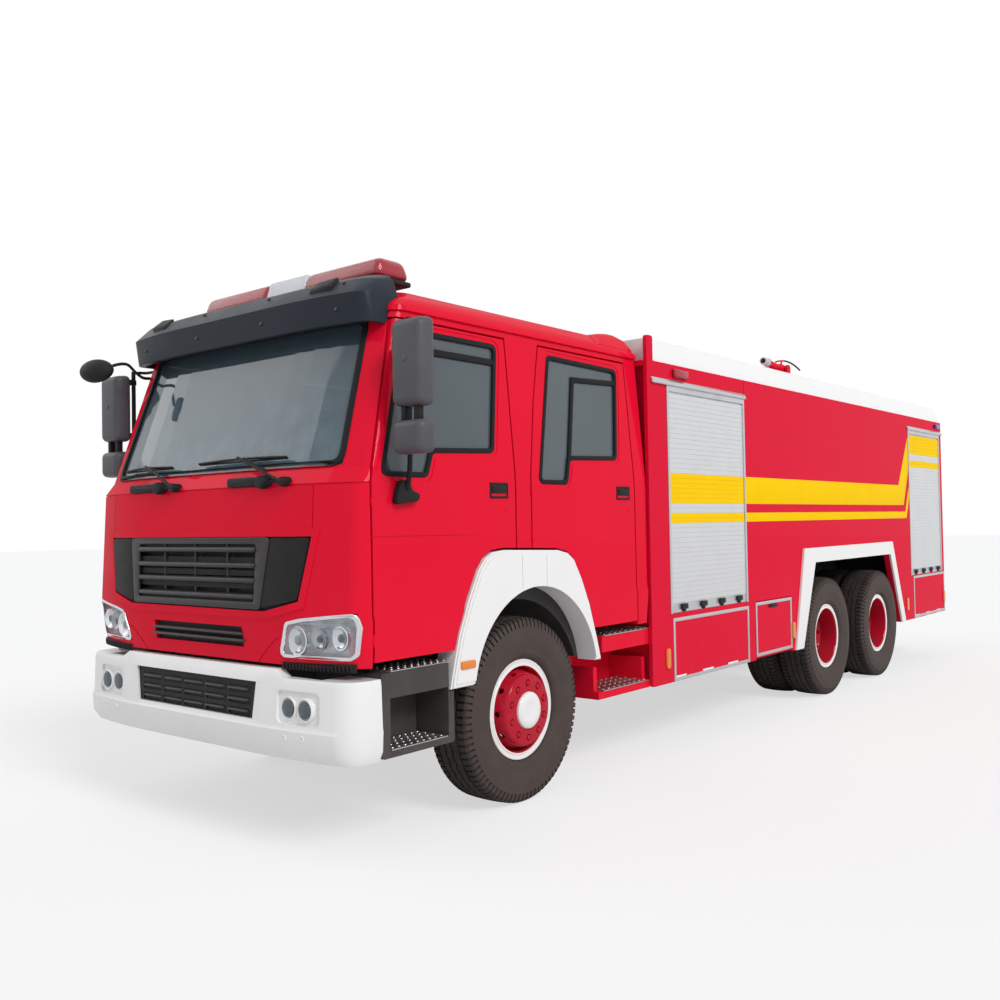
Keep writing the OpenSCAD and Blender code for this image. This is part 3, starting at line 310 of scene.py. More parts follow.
half_section = [(0.2590, 0.070), (0.2590, 0.1030), (0.3035, 0.1030), (0.3080, 0.1200), (0.3200, 0.1345),
                (0.3330, 0.1395), (0.3370, 0.1420), (0.3420, 0.1408), (0.3800, 0.1510), (0.4250, 0.1565),
                (0.4650, 0.1545), (0.4850, 0.1500), (0.4900, 0.1512), (0.4960, 0.1475), (0.5290, 0.1370),
                (0.5450, 0.1290), (0.5500, 0.1180), (0.5525, 0.0840), (0.5420, 0.0820), (0.5420, 0.0720),
                (0.5535, 0.0700), (0.5550, 0.0320), (0.5430, 0.0300), (0.5430, 0.0200), (0.5550, 0.0180)]
hollow = [(0.3100, -0.103), (0.4200, -0.128), (0.5050, -0.103), (0.5050, 0.103), (0.4200, 0.128),
          (0.3100, 0.103)]
tyre = turned("tyre", half_section + [(r, -x) for r, x in reversed(half_section)] + hollow, tyre_steps)
for point in tyre.data.vertices:
    if from_axle(point.co) > tread_foot:
        swing = abs(share_round(point.co) * zigzags % 1 - 0.5) * 4 - 1
        point.co.x += sway * swing * max(0.0, 1 - abs(point.co.x) / sway_end)
pick(tyre, lambda mid, out: (int(share_round(mid) * tyre_steps) % 3 == 0 and abs(mid.x) > lug_from
                             and lug_foot < from_axle(mid) < crown))
bpy.ops.mesh.extrude_region_shrink_fatten(TRANSFORM_OT_shrink_fatten={"value": -lug_height})
smooth(tyre, 38)
tyre.data.materials.append(finish("tyre_side_rubber", (0.040, 0.031, 0.028), (0.082, 0.061, 0.054), 9, 0.72,
                                  relief=0.25, grain=420, wobble=0.08))
tyre.data.materials.append(finish("tyre_tread_rubber", (0.016, 0.014, 0.013), (0.060, 0.048, 0.042), 14, 0.80,
                                  relief=0.3, grain=300, wobble=0.05))
for face in tyre.data.polygons:
    face.material_index = 1 if from_axle(face.center) > tread_edge else 0
for axle, along in axles.items():
    spots = [("single", front_x)] if axle == "front" else [("outer", outer_x), ("inner", inner_x)]
    for hand, sign in [("left", 1), ("right", -1)]:
        for place, x in spots:
            made = twin(tyre, f"tyre_{axle}_{hand}_{place}", (sign * x, axle_y + along, wheel_z))
            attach(made, of_wheel("wheel", axle, hand))
            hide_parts(of_wheel("tyre", axle, hand))
bpy.data.objects.remove(tyre)

# The wheels: a white rim ring with its lock ring, a red pressed disc bolted to the hub by ten
# nuts, and a cap. The front discs bulge out, the rear ones lie deep between their twin tyres.
nuts, nut_radius, barrel_edge = 10, 0.0155, 0.2575
twin_x, twin_gap = 0.92, 0.17
white_paint = finish("white_paint", (0.80, 0.795, 0.785), (0.76, 0.755, 0.745), 3, 0.35, lacquer=0.35,
                     relief=0.012, dust=0.20, dust_top=1.0, wobble=0.04)
wheel_red = finish("wheel_red_paint", (0.47, 0.004, 0.024), (0.40, 0.0034, 0.020), 8, 0.36, lacquer=0.30,
                   relief=0.02, dust=0.10, dust_top=1.2, shine=0.0)


def joined(name, pieces):
    let_go()
    for one in pieces:
        one.select_set(True)
    bpy.context.view_layer.objects.active = pieces[0]
    bpy.ops.object.join()
    made = bpy.context.object
    made.name = name
    return made


def ring_of(piece, count, start=0.0):
    """Sets copies of a piece evenly round the axle and joins them."""
    made = []
    for i in range(count):
        one = twin(piece, piece.name + str(i))
        one.rotation_mode = "XYZ"
        one.rotation_euler = (start + 2 * math.pi * i / count, 0, 0)
        settle()
        made.append(one)
    ring = joined(piece.name + "s", made)
    bpy.data.objects.remove(piece)
    return ring


def changed(piece, kind, **settings):
    """Gives a piece a modifier and applies it."""
    hold(piece)
    change = piece.modifiers.new(kind.lower(), kind)
    for key, value in settings.items():
        setattr(change, key, value)
    bpy.ops.object.modifier_apply(modifier=change.name)
    return piece


def cut(piece, cutter):
    changed(piece, "BOOLEAN", object=cutter, operation="DIFFERENCE", solver="EXACT")
    bpy.data.objects.remove(cutter)
    smooth(piece)


def rod(name, start, end, radius, sides=24, bevel=0.0):
    """A round bar between two points, with its end edges taken off."""
    let_go()
    start, end = Vector(start), Vector(end)
    bpy.ops.mesh.primitive_cylinder_add(vertices=sides, radius=radius, depth=(end - start).length,
                                        location=(start + end) / 2)
    piece = bpy.context.object
    piece.name = name
    piece.rotation_mode = "QUATERNION"
    piece.rotation_quaternion = (end - start).to_track_quat("Z", "Y")
    settle()
    if bevel:
        along = (end - start).normalized()
        pick(piece, lambda mid, out: abs(out.dot(along)) > 0.9)
        bpy.ops.mesh.bevel(offset=bevel, segments=2, affect="EDGES")
    return smooth(piece)


rim_ring = turned("rim_ring", [
    (0.2450, -0.1150), (0.3000, -0.1150), (0.3000, -0.1045), (0.2580, -0.1035), (0.2580, 0.1035),
    (0.2630, 0.1040), (0.2960, 0.1040), (0.3000, 0.1075), (0.2995, 0.1140), (0.2940, 0.1155),
    (0.2880, 0.1120), (0.2740, 0.1105), (0.2700, 0.1145), (0.2600, 0.1145), (0.2520, 0.1050),
    (0.2480, 0.0700), (0.2450, 0.0300)])
front_disc = turned("front_disc", [
    (0.2446, 0.0300), (0.2446, 0.0540), (0.2370, 0.0660), (0.2150, 0.1500), (0.2070, 0.1620),
    (0.1980, 0.1665), (0.0950, 0.1665), (0.0950, 0.1500), (0.1900, 0.1500), (0.1980, 0.1420),
    (0.2230, 0.0600), (0.2280, 0.0300)])
cut(front_disc, ring_of(rod("nut_hole", (0.12, 0, 0.163), (0.20, 0, 0.163), 0.0205), nuts))
cut(front_disc, ring_of(rod("hand_hole", (0.100, 0, 0.19), (0.116, 0, 0.26), 0.0185), nuts, math.pi / nuts))
front_hub = turned("front_hub", [(0.0, 0.050), (0.185, 0.050), (0.185, 0.136), (0.120, 0.140),
                                 (0.120, 0.158), (0.0, 0.158)])
front_nut = ring_of(rod("front_nut", (0.137, 0, 0.163), (0.170, 0, 0.163), nut_radius, 6, 0.003), nuts)
front_cap = turned("front_cap", [
    (0.0, 0.190), (0.050, 0.1900), (0.056, 0.1915), (0.080, 0.1905), (0.098, 0.1860), (0.1070, 0.1780),
    (0.1100, 0.1660), (0.1100, 0.1580), (0.0, 0.1580)])
rear_disc = turned("rear_disc", [
    (0.2446, 0.1000), (0.2446, 0.1260), (0.2340, 0.1180), (0.1980, 0.0320), (0.1880, 0.0190),
    (0.1000, 0.0180), (0.1000, 0.0040), (0.1830, 0.0040), (0.1930, 0.0140), (0.2280, 0.0980)])
cut(rear_disc, ring_of(rod("hand_hole", (0.02, 0, 0.221), (0.12, 0, 0.221), 0.0175), nuts, math.pi / nuts))
rear_hub = turned("rear_hub", [
    (0.0, -0.02), (0.150, -0.02), (0.150, 0.0040), (0.130, 0.0200), (0.1270, 0.0980), (0.1180, 0.1120),
    (0.1020, 0.1170), (0.0980, 0.1480), (0.0880, 0.1560), (0.0, 0.1575)])
rear_nut = ring_of(rod("rear_nut", (0.016, 0, 0.168), (0.048, 0, 0.168), nut_radius, 6, 0.003), nuts)
white_parts = [rim_ring, front_cap]
red_parts = [front_disc, front_hub, front_nut, rear_disc, rear_hub, rear_nut]
for coat, parts in [(white_paint, white_parts), (wheel_red, red_parts + [rim_ring])]:
    for part in parts:
        part.data.materials.append(coat)
for face in rim_ring.data.polygons:
    face.material_index = int(from_axle(face.center) < barrel_edge)
front_set = [(part, 0.0) for part in (rim_ring, front_disc, front_hub, front_nut, front_cap)]
rear_set = [(rim_ring, twin_gap), (rim_ring, -twin_gap), (rear_disc, 0.0), (rear_hub, 0.0), (rear_nut, 0.0)]
for hand, sign in [("left", 1), ("right", -1)]:
    for axle, along in axles.items():
        for part, inset in front_set if axle == "front" else rear_set:
            spot = (sign * ((front_x if axle == "front" else twin_x) + inset), axle_y + along, wheel_z)
            made = twin(part, f"{part.name}_{axle}_{hand}{'_inner' if inset < 0 else ''}", spot, sign < 0)
            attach(made, of_wheel("wheel", axle, hand))
            if part in (front_disc, rear_disc):
                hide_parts(of_wheel("rim", axle, hand))
for part in white_parts + red_parts:
    bpy.data.objects.remove(part)

# The bumper: one white moulding bowed round the front, with a black slatted grille let into it
# and two fog lamps in round pockets on each side. It bolts to the frame's ends.
moulded_black = finish("moulded_black_plastic", (0.012, 0.0115, 0.012), (0.022, 0.020, 0.021), 12, 0.50,
                       relief=0.35, grain=1400, dust=0.12, shine=0.12)


def ride_with(piece, coat, body):
    piece.data.materials.append(coat)
    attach(piece, body)
    return piece


def sheet_of(node, coat, angle=30):
    """The CAD sheet itself with its triangles joined and its bends shaded round."""
    let_go()
    source = frame["nodes"][node]
    made = source.copy()
    made.data = source.data.copy()
    made.name = node + "_sheet"
    for key in list(made.keys()):
        del made[key]
    made.parent = None
    bpy.context.scene.collection.objects.link(made)
    hold(made)
    bpy.ops.mesh.customdata_custom_splitnormals_clear()
    open_up()
    bpy.ops.mesh.remove_doubles(threshold=0.00003)
    bpy.ops.mesh.dissolve_limited(angle_limit=math.radians(0.3))
    smooth(made, angle)
    changed(made, "WEIGHTED_NORMAL", keep_sharp=True)
    made.data.materials.clear()
    ride_with(made, coat, source["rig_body"])
    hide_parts(node)
    return made


sheet_of("bumper", white_paint)
sheet_of("grilles", moulded_black)

# The cab: pressed steel panels welded to a shell, with four doors hung on pins, all sprayed in
# one bright red under a clear coat. Its floor is chassis black.
red_paint = finish("red_paint", (0.735, 0.0050, 0.030), (0.69, 0.0044, 0.026), 1.6, 0.34, lacquer=0.18,
                   relief=0.010, grain=500, dust=0.04, dust_top=1.5, wobble=0.03, shine=0.0)
for node in ["cab_front", "cab_pillars", "cab_back", "cab_roof", "door_front_left", "door_front_right",
             "door_rear_left", "door_rear_right"]:
    sheet_of(node, red_paint)
dress("cab_floor", chassis_black)

# The glass: flat tempered panes in the doors and a bowed laminated windscreen, tinted blue-grey,
# with painted shade darkening the windscreen's top under the visor and paler tint lower down. Rubber seals hold
# them.


# Extra settings pass on to the coat; the windscreen's carry its painted shade.
def glazing(name, tint, second, clear, **painted_shade):
    made = finish(name, tint, second, 0.8, 0.04, lacquer=0.2, wobble=0.02, shine=0.5, **painted_shade)
    made.node_tree.nodes["Principled BSDF"].inputs["Alpha"].default_value = clear
    return made


# The windscreen's tint holds painted shade: dark at the top where the visor shades it, mixed towards a paler
# blue-grey lower down.
screen_glass = glazing("windscreen_glass", (0.034, 0.050, 0.060), (0.060, 0.092, 0.112), 0.78,
                       dust=2.6, dust_top=2.75, dust_colour=(0.21, 0.32, 0.39))
side_glass = glazing("side_glass", (0.050, 0.070, 0.082), (0.110, 0.140, 0.156), 0.76)
dress("windscreen", screen_glass)
for node in ["glass_front_left", "glass_front_right", "glass_rear_left", "glass_rear_right"]:
    dress(node, side_glass)

# The window rubbers: black extruded seals that grip the panes, pressed over the edge of each
# opening, with the dark rain bars that divide the door windows.
rubber_black = finish("seal_rubber", (0.009, 0.009, 0.010), (0.016, 0.016, 0.018), 20, 0.55,
                      relief=0.1, shine=0.10)
cab_rows = [(0.965, 1.230, -1.470, 0.100), (1.195, 1.233, -1.500, 0.100), (1.225, 1.225, -1.510, 0.100),
            (1.900, 1.225, -1.475, 0.100), (1.975, 1.222, -1.415, 0.095), (2.820, 1.150, -1.115, 0.070)]
flat, bow = 0.5, 2.2


def cab_at(z):
    """The cab's half width, the place of its face and its corner radius at a height."""
    for low, high in zip(cab_rows, cab_rows[1:]):
        if z <= high[0] or high is cab_rows[-1]:
            share = (z - low[0]) / (high[0] - low[0])
            return [a + (b - a) * share for a, b in zip(low[1:], high[1:])]


def cab_face(x, z):
    """How far forward the front lies: flat in the middle, bowed, then round the corner."""
    half, face, corner = cab_at(z)
    reach = half - corner
    lean = math.asin((reach - flat) / (bow - corner))
    x = abs(x)
    if x <= flat:
        return face
    if x <= flat + bow * math.sin(lean):
        return face + bow - math.sqrt(bow ** 2 - (x - flat) ** 2)
    bend = face + bow - (bow - corner) * math.cos(lean)
    return bend - math.sqrt(max(corner ** 2 - (x - reach) ** 2, 0))


def beside(points, i):
    """A point of an outline between the one before and the one after it."""
    return Vector(points[i - 1]), Vector(points[i]), Vector(points[(i + 1) % len(points)])


def grown(points, by):
    """An outline moved outwards by a distance, with its corners kept sharp."""
    area = sum(a[0] * b[1] - b[0] * a[1] for a, b in zip(points, points[1:] + points[:1]))
    sense = 1 if area > 0 else -1
    made = []
    for i in range(len(points)):
        before, mid, after = beside(points, i)
        one, two = (mid - before).normalized(), (after - mid).normalized()
        out1, out2 = Vector((one.y, -one.x)) * sense, Vector((two.y, -two.x)) * sense
        made.append(tuple(mid + (out1 + out2) * by / (1 + out1.dot(out2))))
    return made


def rounded(points, radius, steps=5):
    """An outline with each corner swung round."""
    made = []
    for i in range(len(points)):
        before, mid, after = beside(points, i)
        one, two = before - mid, after - mid
        reach = min(radius * math.tan((math.pi - one.angle(two)) / 2), 0.45 * one.length, 0.45 * two.length)
        start, end = mid + one.normalized() * reach, mid + two.normalized() * reach
        for k in range(steps + 1):
            t = k / steps
            made.append(tuple(start * (1 - t) ** 2 + mid * 2 * t * (1 - t) + end * t * t))
    return made


def walked(points, stride):
    """An outline with extra points on its long runs."""
    made = []
    for one, two in zip(points, points[1:] + points[:1]):
        count = max(1, math.ceil(math.dist(one, two) / stride))
        made += [tuple(Vector(one).lerp(Vector(two), k / count)) for k in range(count)]
    return made


def edged(points, by, radius, stride):
    """An outline grown, rounded at its corners and divided along its runs."""
    return walked(rounded(grown(points, by), radius), stride)


def plate(name, outlines, thick, edge, lay):
    """A plate cut to outlines, its edges rounded over, and every point then laid in place."""
    piece = drawn(name, [[(*co, 0) for co in points] for points in outlines], dimensions="2D", fill_mode="BOTH",
                  extrude=thick / 2 - edge, bevel_depth=edge, bevel_resolution=1)
    face_out(weld_gap)
    for point in piece.data.vertices:
        point.co = lay(point.co)
    return smooth(piece, 40)


def on_cab_side(out):
    return lambda spot: Vector((cab_at(spot.y)[0] + spot.z, spot.x + axle_y, spot.y)) + Vector((out, 0, 0))


def on_front(depth):
    return lambda spot: Vector((spot.x, axle_y + cab_face(spot.x, spot.y) + depth - spot.z, spot.y))


def both_sides(piece, coat, pair=""):
    """One piece on the left and its handed copy on the right, on the chassis or a pair of bodies."""
    other = twin(piece, piece.name + "_right", flip=True)
    piece.name += "_left"
    for one, hand in [(piece, "_left"), (other, "_right")]:
        ride_with(one, coat, pair + hand if pair else "chassis")
    return piece, other


front_window = [(-1.222, 1.935), (-0.885, 1.935), (-0.830, 2.070), (-0.315, 2.090), (-0.215, 2.722),
                (-0.985, 2.722)]
crew_window = [(0.105, 1.920), (0.397, 1.920), (0.441, 2.078), (0.988, 2.096), (1.081, 2.711), (0.296, 2.722)]
front_bar = [(-1.012, 2.604), (-0.237, 2.606), (-0.231, 2.634), (-1.002, 2.634)]
crew_bar = [(0.430, 2.070), (0.456, 2.071), (0.566, 2.586), (1.064, 2.607), (1.068, 2.632), (0.546, 2.611)]
for name, door, window, bar in [("front_window", "door_front", front_window, front_bar),
                                ("crew_window", "door_rear", crew_window, crew_bar)]:
    seal = plate(name + "_seal", [edged(window, 0.004, 0.045, 0.2), edged(window, -0.015, 0.030, 0.2)],
                 0.018, 0.005, on_cab_side(-0.007))
    both_sides(seal, rubber_black, door)
    rail = plate(name + "_bar", [walked(rounded(bar, 0.008), 0.2)], 0.018, 0.005, on_cab_side(-0.010))
    both_sides(rail, rubber_black, door)
screen = [(-1.060, 1.990), (1.060, 1.990), (0.990, 2.785), (-0.990, 2.785)]
seal = plate("windscreen_seal", [edged(screen, 0.004, 0.07, 0.08), edged(screen, -0.022, 0.05, 0.08)],
             0.018, 0.004, on_front(0.002))
ride_with(seal, rubber_black, "chassis")

# The door handles: black pull flaps in moulded pockets, screwed on from inside, with a small
# red lock barrel under each.
cab_side, handle_low, handle_high, lock_z = 1.212, 1.820, 1.912, 1.748


def block(name, x0, x1, y0, y1, z0, z1):
    """A block at its size and place, with y counted from the front axle."""
    let_go()
    bpy.ops.mesh.primitive_cube_add(size=1, location=((x0 + x1) / 2, axle_y + (y0 + y1) / 2, (z0 + z1) / 2))
    piece = bpy.context.object
    piece.name = name
    piece.scale = (x1 - x0, y1 - y0, z1 - z0)
    settle()
    return piece


def soften(piece, width, segments=2, angle=35):
    changed(piece, "BEVEL", width=width, segments=segments, limit_method="ANGLE",
            angle_limit=math.radians(angle))
    return smooth(piece, 40)


def sunk(piece, side, rim, move, close=0.95):
    """Insets the face that looks to one side and moves its inner part in or out."""
    pick(piece, lambda mid, out: out.dot(Vector(side)) > close)
    bpy.ops.mesh.inset(thickness=rim)
    bpy.ops.mesh.extrude_region_move(TRANSFORM_OT_translate={"value": move})
    let_go()
    return piece


def narrowed(piece, side, shares, about):
    """Shrinks the face that looks to one side towards a point."""
    pick(piece, lambda mid, out: out.dot(Vector(side)) > 0.9)
    bpy.ops.transform.resize(value=shares, center_override=about)
    let_go()
    return piece


for name, door, y0, y1 in [("front_handle", "door_front", -0.370, -0.205),
                           ("crew_handle", "door_rear", 0.957, 1.120)]:
    pocket = sunk(block("pocket", cab_side, 1.231, y0, y1, handle_low, handle_high), (1, 0, 0), 0.014,
                  (-0.014, 0, 0))
    soften(pocket, 0.005)
    flap = narrowed(block("flap", 1.214, 1.2335, y0 + 0.018, y1 - 0.018, 1.850, 1.896), (0, 0, -1),
                    (0.5, 1, 1), (1.2335, axle_y + (y0 + y1) / 2, 1.850))
    soften(flap, 0.006, 3)
    both_sides(joined(name, [pocket, flap]), moulded_black, door)
    lock_y = axle_y + y1 - 0.012
    lock = rod(name + "_lock", (1.218, lock_y, lock_z), (1.229, lock_y, lock_z), 0.012, 20, 0.002)
    both_sides(lock, red_paint, door)

# The wipers: two motor boxes on the cowl, each with a sprung arm and a rubber blade that rests
# along the lower edge of the windscreen.


def tube(name, points, radius, sides=10):
    """A round bar bent through points, with y counted from the front axle."""
    piece = drawn(name, [[(x, axle_y + y, z) for x, y, z in points]], closed=False, bevel_depth=radius,
                  bevel_resolution=max(0, sides // 4 - 1), use_fill_caps=True)
    face_out(weld_gap)
    return smooth(piece, 50)


def swept(points, steps=6):
    """Points along a smooth run through a few given ones."""
    made = []
    for i in range(len(points) - 1):
        p0, p1 = Vector(points[max(i - 1, 0)]), Vector(points[i])
        p2, p3 = Vector(points[i + 1]), Vector(points[min(i + 2, len(points) - 1)])
        for k in range(steps):
            t = k / steps
            made.append(tuple(0.5 * (2 * p1 + (p2 - p0) * t + (2 * p0 - 5 * p1 + 4 * p2 - p3) * t * t
                                     + (3 * p1 - p0 - 3 * p2 + p3) * t ** 3)))
    return made + [tuple(points[-1])]


def before_cab(x, z, off):
    return (x, cab_face(x, z) - off, z)


for name, box_x0, box_x1, pivot, knee, blade_x0, blade_x1, blade_z in [
        ("right_wiper", -0.69, -0.30, -0.20, -0.62, -0.90, -0.34, 2.040),
        ("left_wiper", 0.30, 0.66, 0.765, 0.30, -0.07, 0.70, 2.046)]:
    motor = block("motor", box_x0, box_x1, -1.500, -1.440, 1.895, 1.945)
    for point in motor.data.vertices:
        point.co.y += cab_face(point.co.x, 1.92) + 1.462
    soften(motor, 0.012, 3)
    lump_x = box_x1 - 0.05
    lump_y, boss_y = (axle_y + cab_face(x, 1.91) for x in (lump_x, pivot))
    lump = rod("lump", (lump_x, lump_y - 0.055, 1.915), (lump_x, lump_y + 0.02, 1.915), 0.036, 24, 0.006)
    boss = rod("boss", (pivot, boss_y - 0.050, 1.912), (pivot, boss_y + 0.01, 1.912), 0.026, 24, 0.005)
    arm = tube("arm", swept([before_cab(pivot, 1.912, 0.046),
                             before_cab(pivot * 0.75 + knee * 0.25, 1.95, 0.052),
                             before_cab(knee * 0.7 + pivot * 0.3, 2.02, 0.046),
                             before_cab(knee, blade_z + 0.016, 0.036)]), 0.009, 12)
    stay = tube("stay", swept([before_cab(pivot - 0.06, 1.925, 0.05),
                               before_cab((pivot + knee) / 2, 2.00, 0.055),
                               before_cab(knee + 0.06, blade_z + 0.014, 0.04)]), 0.004, 8)
    link = tube("link", [before_cab(box_x0 + 0.05, 1.92, 0.03), before_cab(pivot, 1.915, 0.03)], 0.010, 12)
    blade = [blade_x0 + (blade_x1 - blade_x0) * k / 10 for k in range(11)]
    spine = tube("spine", [before_cab(x, blade_z + 0.008 * math.sin(math.pi * k / 10), 0.024)
                           for k, x in enumerate(blade)], 0.007, 12)
    lip = tube("lip", [before_cab(x, blade_z - 0.006, 0.013) for x in blade], 0.006, 8)
    ride_with(joined(name, [motor, lump, boss, arm, stay, link, spine, lip]), moulded_black, "chassis")

# The headlamps: chrome bowls and a dark tray behind clear moulded lenses with a bright rim,
# set in the corners of the cab front. Two round fog lamps sit in the bumper below each.
chrome = finish("lamp_chrome", (0.80, 0.81, 0.83), (0.62, 0.64, 0.67), 30, 0.10, metal=1.0, wobble=0.05)
clear_lens = glazing("clear_lens", (0.82, 0.86, 0.90), (0.70, 0.76, 0.82), 0.22)
lamp_tray = finish("lamp_tray", (0.42, 0.43, 0.45), (0.20, 0.21, 0.23), 24, 0.18, metal=0.9, wobble=0.08)
headlamp = [(0.706, 1.008), (1.150, 1.006), (1.188, 1.030), (1.210, 1.170), (1.199, 1.238), (1.063, 1.226),
            (0.874, 1.206), (0.772, 1.185)]
fog_y, fog_z = -1.500, 0.755


def dish(name, centre, radius, depth, well, sides=32):
    """A bowl that opens forwards: a drum whose face is set in and sunk."""
    x, y, z = centre
    piece = rod(name, (x, axle_y + y, z), (x, axle_y + y + depth, z), radius, sides)
    pick(piece, lambda mid, out: out.y < -0.9)
    bpy.ops.mesh.inset(thickness=radius * 0.12)
    for share, sink in [(0.86, 0.35), (0.70, 0.30), (0.50, 0.22)]:
        bpy.ops.mesh.extrude_region_move(TRANSFORM_OT_translate={"value": (0, well * sink, 0)})
        bpy.ops.transform.resize(value=(share, 1, share), center_override=(x, axle_y + y, z))
    return smooth(piece, 40)


def oblong(x0, x1, z0, z1):
    return [(x0, z0), (x1, z0), (x1, z1), (x0, z1)]


tray = plate("headlamp_tray", [edged(headlamp, -0.004, 0.03, 0.04)], 0.006, 0.001, on_front(0.046))
both_sides(tray, lamp_tray)
rim = plate("headlamp_rim", [edged(headlamp, 0.002, 0.035, 0.05), edged(headlamp, -0.011, 0.028, 0.05)],
            0.012, 0.003, on_front(0.002))
both_sides(rim, chrome)
cover = plate("headlamp_lens", [edged(headlamp, -0.006, 0.03, 0.05)], 0.006, 0.001, on_front(0.006))
both_sides(cover, clear_lens)
bulbs = []
for name, x, z, radius, well, coat, slot in [("main_bowl", 0.822, 1.094, 0.076, 0.030, chrome, "aluminium"),
                                             ("beam_bowl", 0.962, 1.106, 0.056, 0.024, lamp_tray, "lamp_clear"),
                                             ("turn_bowl", 1.088, 1.114, 0.062, 0.026, chrome, "aluminium")]:
    y = cab_face(x, z)
    both_sides(dish(name, (x, y + 0.014, z), radius, 0.034, well), coat)
    bulbs.append(rod("bulb", (x, axle_y + y + 0.016, z), (x, axle_y + y + 0.046, z), radius * 0.36, 24, 0.006))
both_sides(joined("headlamp_bulbs", bulbs), side_glass)
vent = plate("lamp_vent", [walked([(0.722, 0.9462), (1.170, 0.9462), (1.176, 0.985), (0.728, 0.978)], 0.03)],
             0.012, 0.003, on_front(-0.004))
ribs = [plate("rib", [oblong(0.735 + 0.022 * k, 0.741 + 0.022 * k, 0.950, 0.976)], 0.008, 0.002,
              on_front(-0.012)) for k in range(20)]
both_sides(joined("lamp_vent", [vent] + ribs), moulded_black)
for name, x in [("inner_fog", 0.808), ("outer_fog", 0.936)]:
    pod = turned(name + "_pod", [(0.0505, 0.034), (0.0640, 0.034), (0.0610, 0.004), (0.0575, 0.000),
                                 (0.0520, 0.001), (0.0505, 0.004)])
    pod.data.transform(Matrix.Translation((x, axle_y + fog_y - 0.004, fog_z))
                       @ Matrix.Rotation(math.radians(90), 4, "Z"))
    both_sides(pod, white_paint)
    both_sides(dish(name + "_bowl", (x, fog_y, fog_z), 0.0495, 0.060, 0.036), lamp_tray)
    lens = rod(name + "_lens", (x, axle_y + fog_y - 0.0045, fog_z), (x, axle_y + fog_y + 0.003, fog_z),
               0.044, 32, 0.003)
    both_sides(lens, side_glass)
caps = []
for x, y, z in [(0.800, -1.525, 0.607), (0.925, -1.5125, 0.611)]:
    cap = rod("cap", (x, axle_y + y - 0.004, z), (x, axle_y + y + 0.012, z), 0.017, 24, 0.003)
    caps.append(sunk(cap, (0, -1, 0), 0.006, (0, 0.004, 0)))
both_sides(joined("bumper_caps", caps), white_paint)
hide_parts("lamps")

# The grille bars: rounded plastic bars clipped across the openings of the cab front and the
# bumper, with a moulded frame round the upper ones and plain wing panels beside it.
bar_grey = finish("grille_bar_plastic", (0.034, 0.030, 0.032), (0.052, 0.046, 0.048), 14, 0.42,
                  relief=0.25, grain=1200, dust=0.12, shine=0.25)
bezel_outside = [(-0.655, 1.620), (0.655, 1.620), (0.596, 1.252), (-0.596, 1.252)]
bezel_inside = [(-0.562, 1.594), (0.562, 1.594), (0.556, 1.280), (-0.556, 1.280)]
wing_outline = [(0.672, 1.618), (0.928, 1.618), (0.860, 1.308), (0.640, 1.262), (0.612, 1.262)]


def grille_bar(x0, x1, y, z, high, deep):
    bar = narrowed(block("bar", x0, x1, y, y + deep, z - high / 2, z + high / 2), (0, -1, 0),
                   (1 - high * 0.4 / (x1 - x0), 1, 0.5), ((x0 + x1) / 2, axle_y + y, z))
    return soften(bar, high * 0.22, 3)


upper = [grille_bar(-0.556, 0.556, -1.520, z, 0.042, 0.050) for z in (1.560, 1.476, 1.396, 1.310)]
posts = [soften(block("post", x - 0.006, x + 0.006, -1.496, -1.470, 1.270, 1.600), 0.002)
         for x in (-0.30, 0.0, 0.30)]
bezel = plate("bezel", [walked(rounded(line, 0.02), 0.08) for line in (bezel_outside, bezel_inside)],
              0.016, 0.005, on_front(-0.004))
lower = [grille_bar(-reach, reach, -1.502, z, 0.026, 0.040) for z, reach in ((1.110, 0.425), (1.074, 0.435))]
ride_with(joined("grille_bars", upper + posts + [bezel] + lower), bar_grey, "chassis")
wing = plate("grille_wing", [walked(rounded(wing_outline, 0.015), 0.06)], 0.012, 0.004, on_front(-0.003))
both_sides(wing, moulded_black)
lattice = [grille_bar(x0, x1, -1.523, z, 0.020, 0.030) for z in (0.823, 0.766, 0.708)
           for x0, x1 in ((-0.495, -0.315), (-0.285, -0.110), (-0.085, 0.085), (0.110, 0.285), (0.315, 0.495))]
ride_with(joined("bumper_grille_bars", lattice), bar_grey, "chassis")

# The sun visor: a dark moulded shield on two hidden brackets over the windscreen, held by
# round-headed screws, with two marker lamps on its top.
visor_grey = finish("visor_plastic", (0.013, 0.017, 0.026), (0.022, 0.027, 0.038), 3, 0.40,
                    relief=0.12, grain=1500, wobble=0.05, shine=0.16)
visor_rows = [(2.745, -1.245), (2.898, -1.275), (2.985, -1.190), (3.026, -1.085)]


def visor_bow(x, radius=3.0):
    return 0 if abs(x) <= flat else radius - math.sqrt(radius ** 2 - (abs(x) - flat) ** 2)


def visor_face(x, z):
    """How far forward the visor lies, bowed as the front is."""
    for low, high in zip(visor_rows, visor_rows[1:]):
        if z <= high[0] or high is visor_rows[-1]:
            return visor_bow(x) + low[1] + (high[1] - low[1]) * (z - low[0]) / (high[0] - low[0])


sheet_of("sun_visor", visor_grey, 35)
screws = []
for z, out in [(2.822, Vector((0, -1.0, 0.2))), (2.972, Vector((0, -0.72, 0.70)))]:
    for x in (-0.91, -0.31, 0.31, 0.91):
        seat = Vector((x, axle_y + visor_face(x, z), z))
        screws.append(rod("screw", seat + out * 0.006, seat - out * 0.006, 0.011, 20, 0.003))
ride_with(joined("visor_screws", screws), bar_grey, "chassis")
marker = block("visor_marker", 0.690, 0.850, -1.242, -1.168, 2.948, 2.990)
for point in marker.data.vertices:
    point.co.y += visor_bow(point.co.x)
    point.co.z += (point.co.y - axle_y + 1.19) * 0.8
both_sides(soften(marker, 0.014, 3), moulded_black)

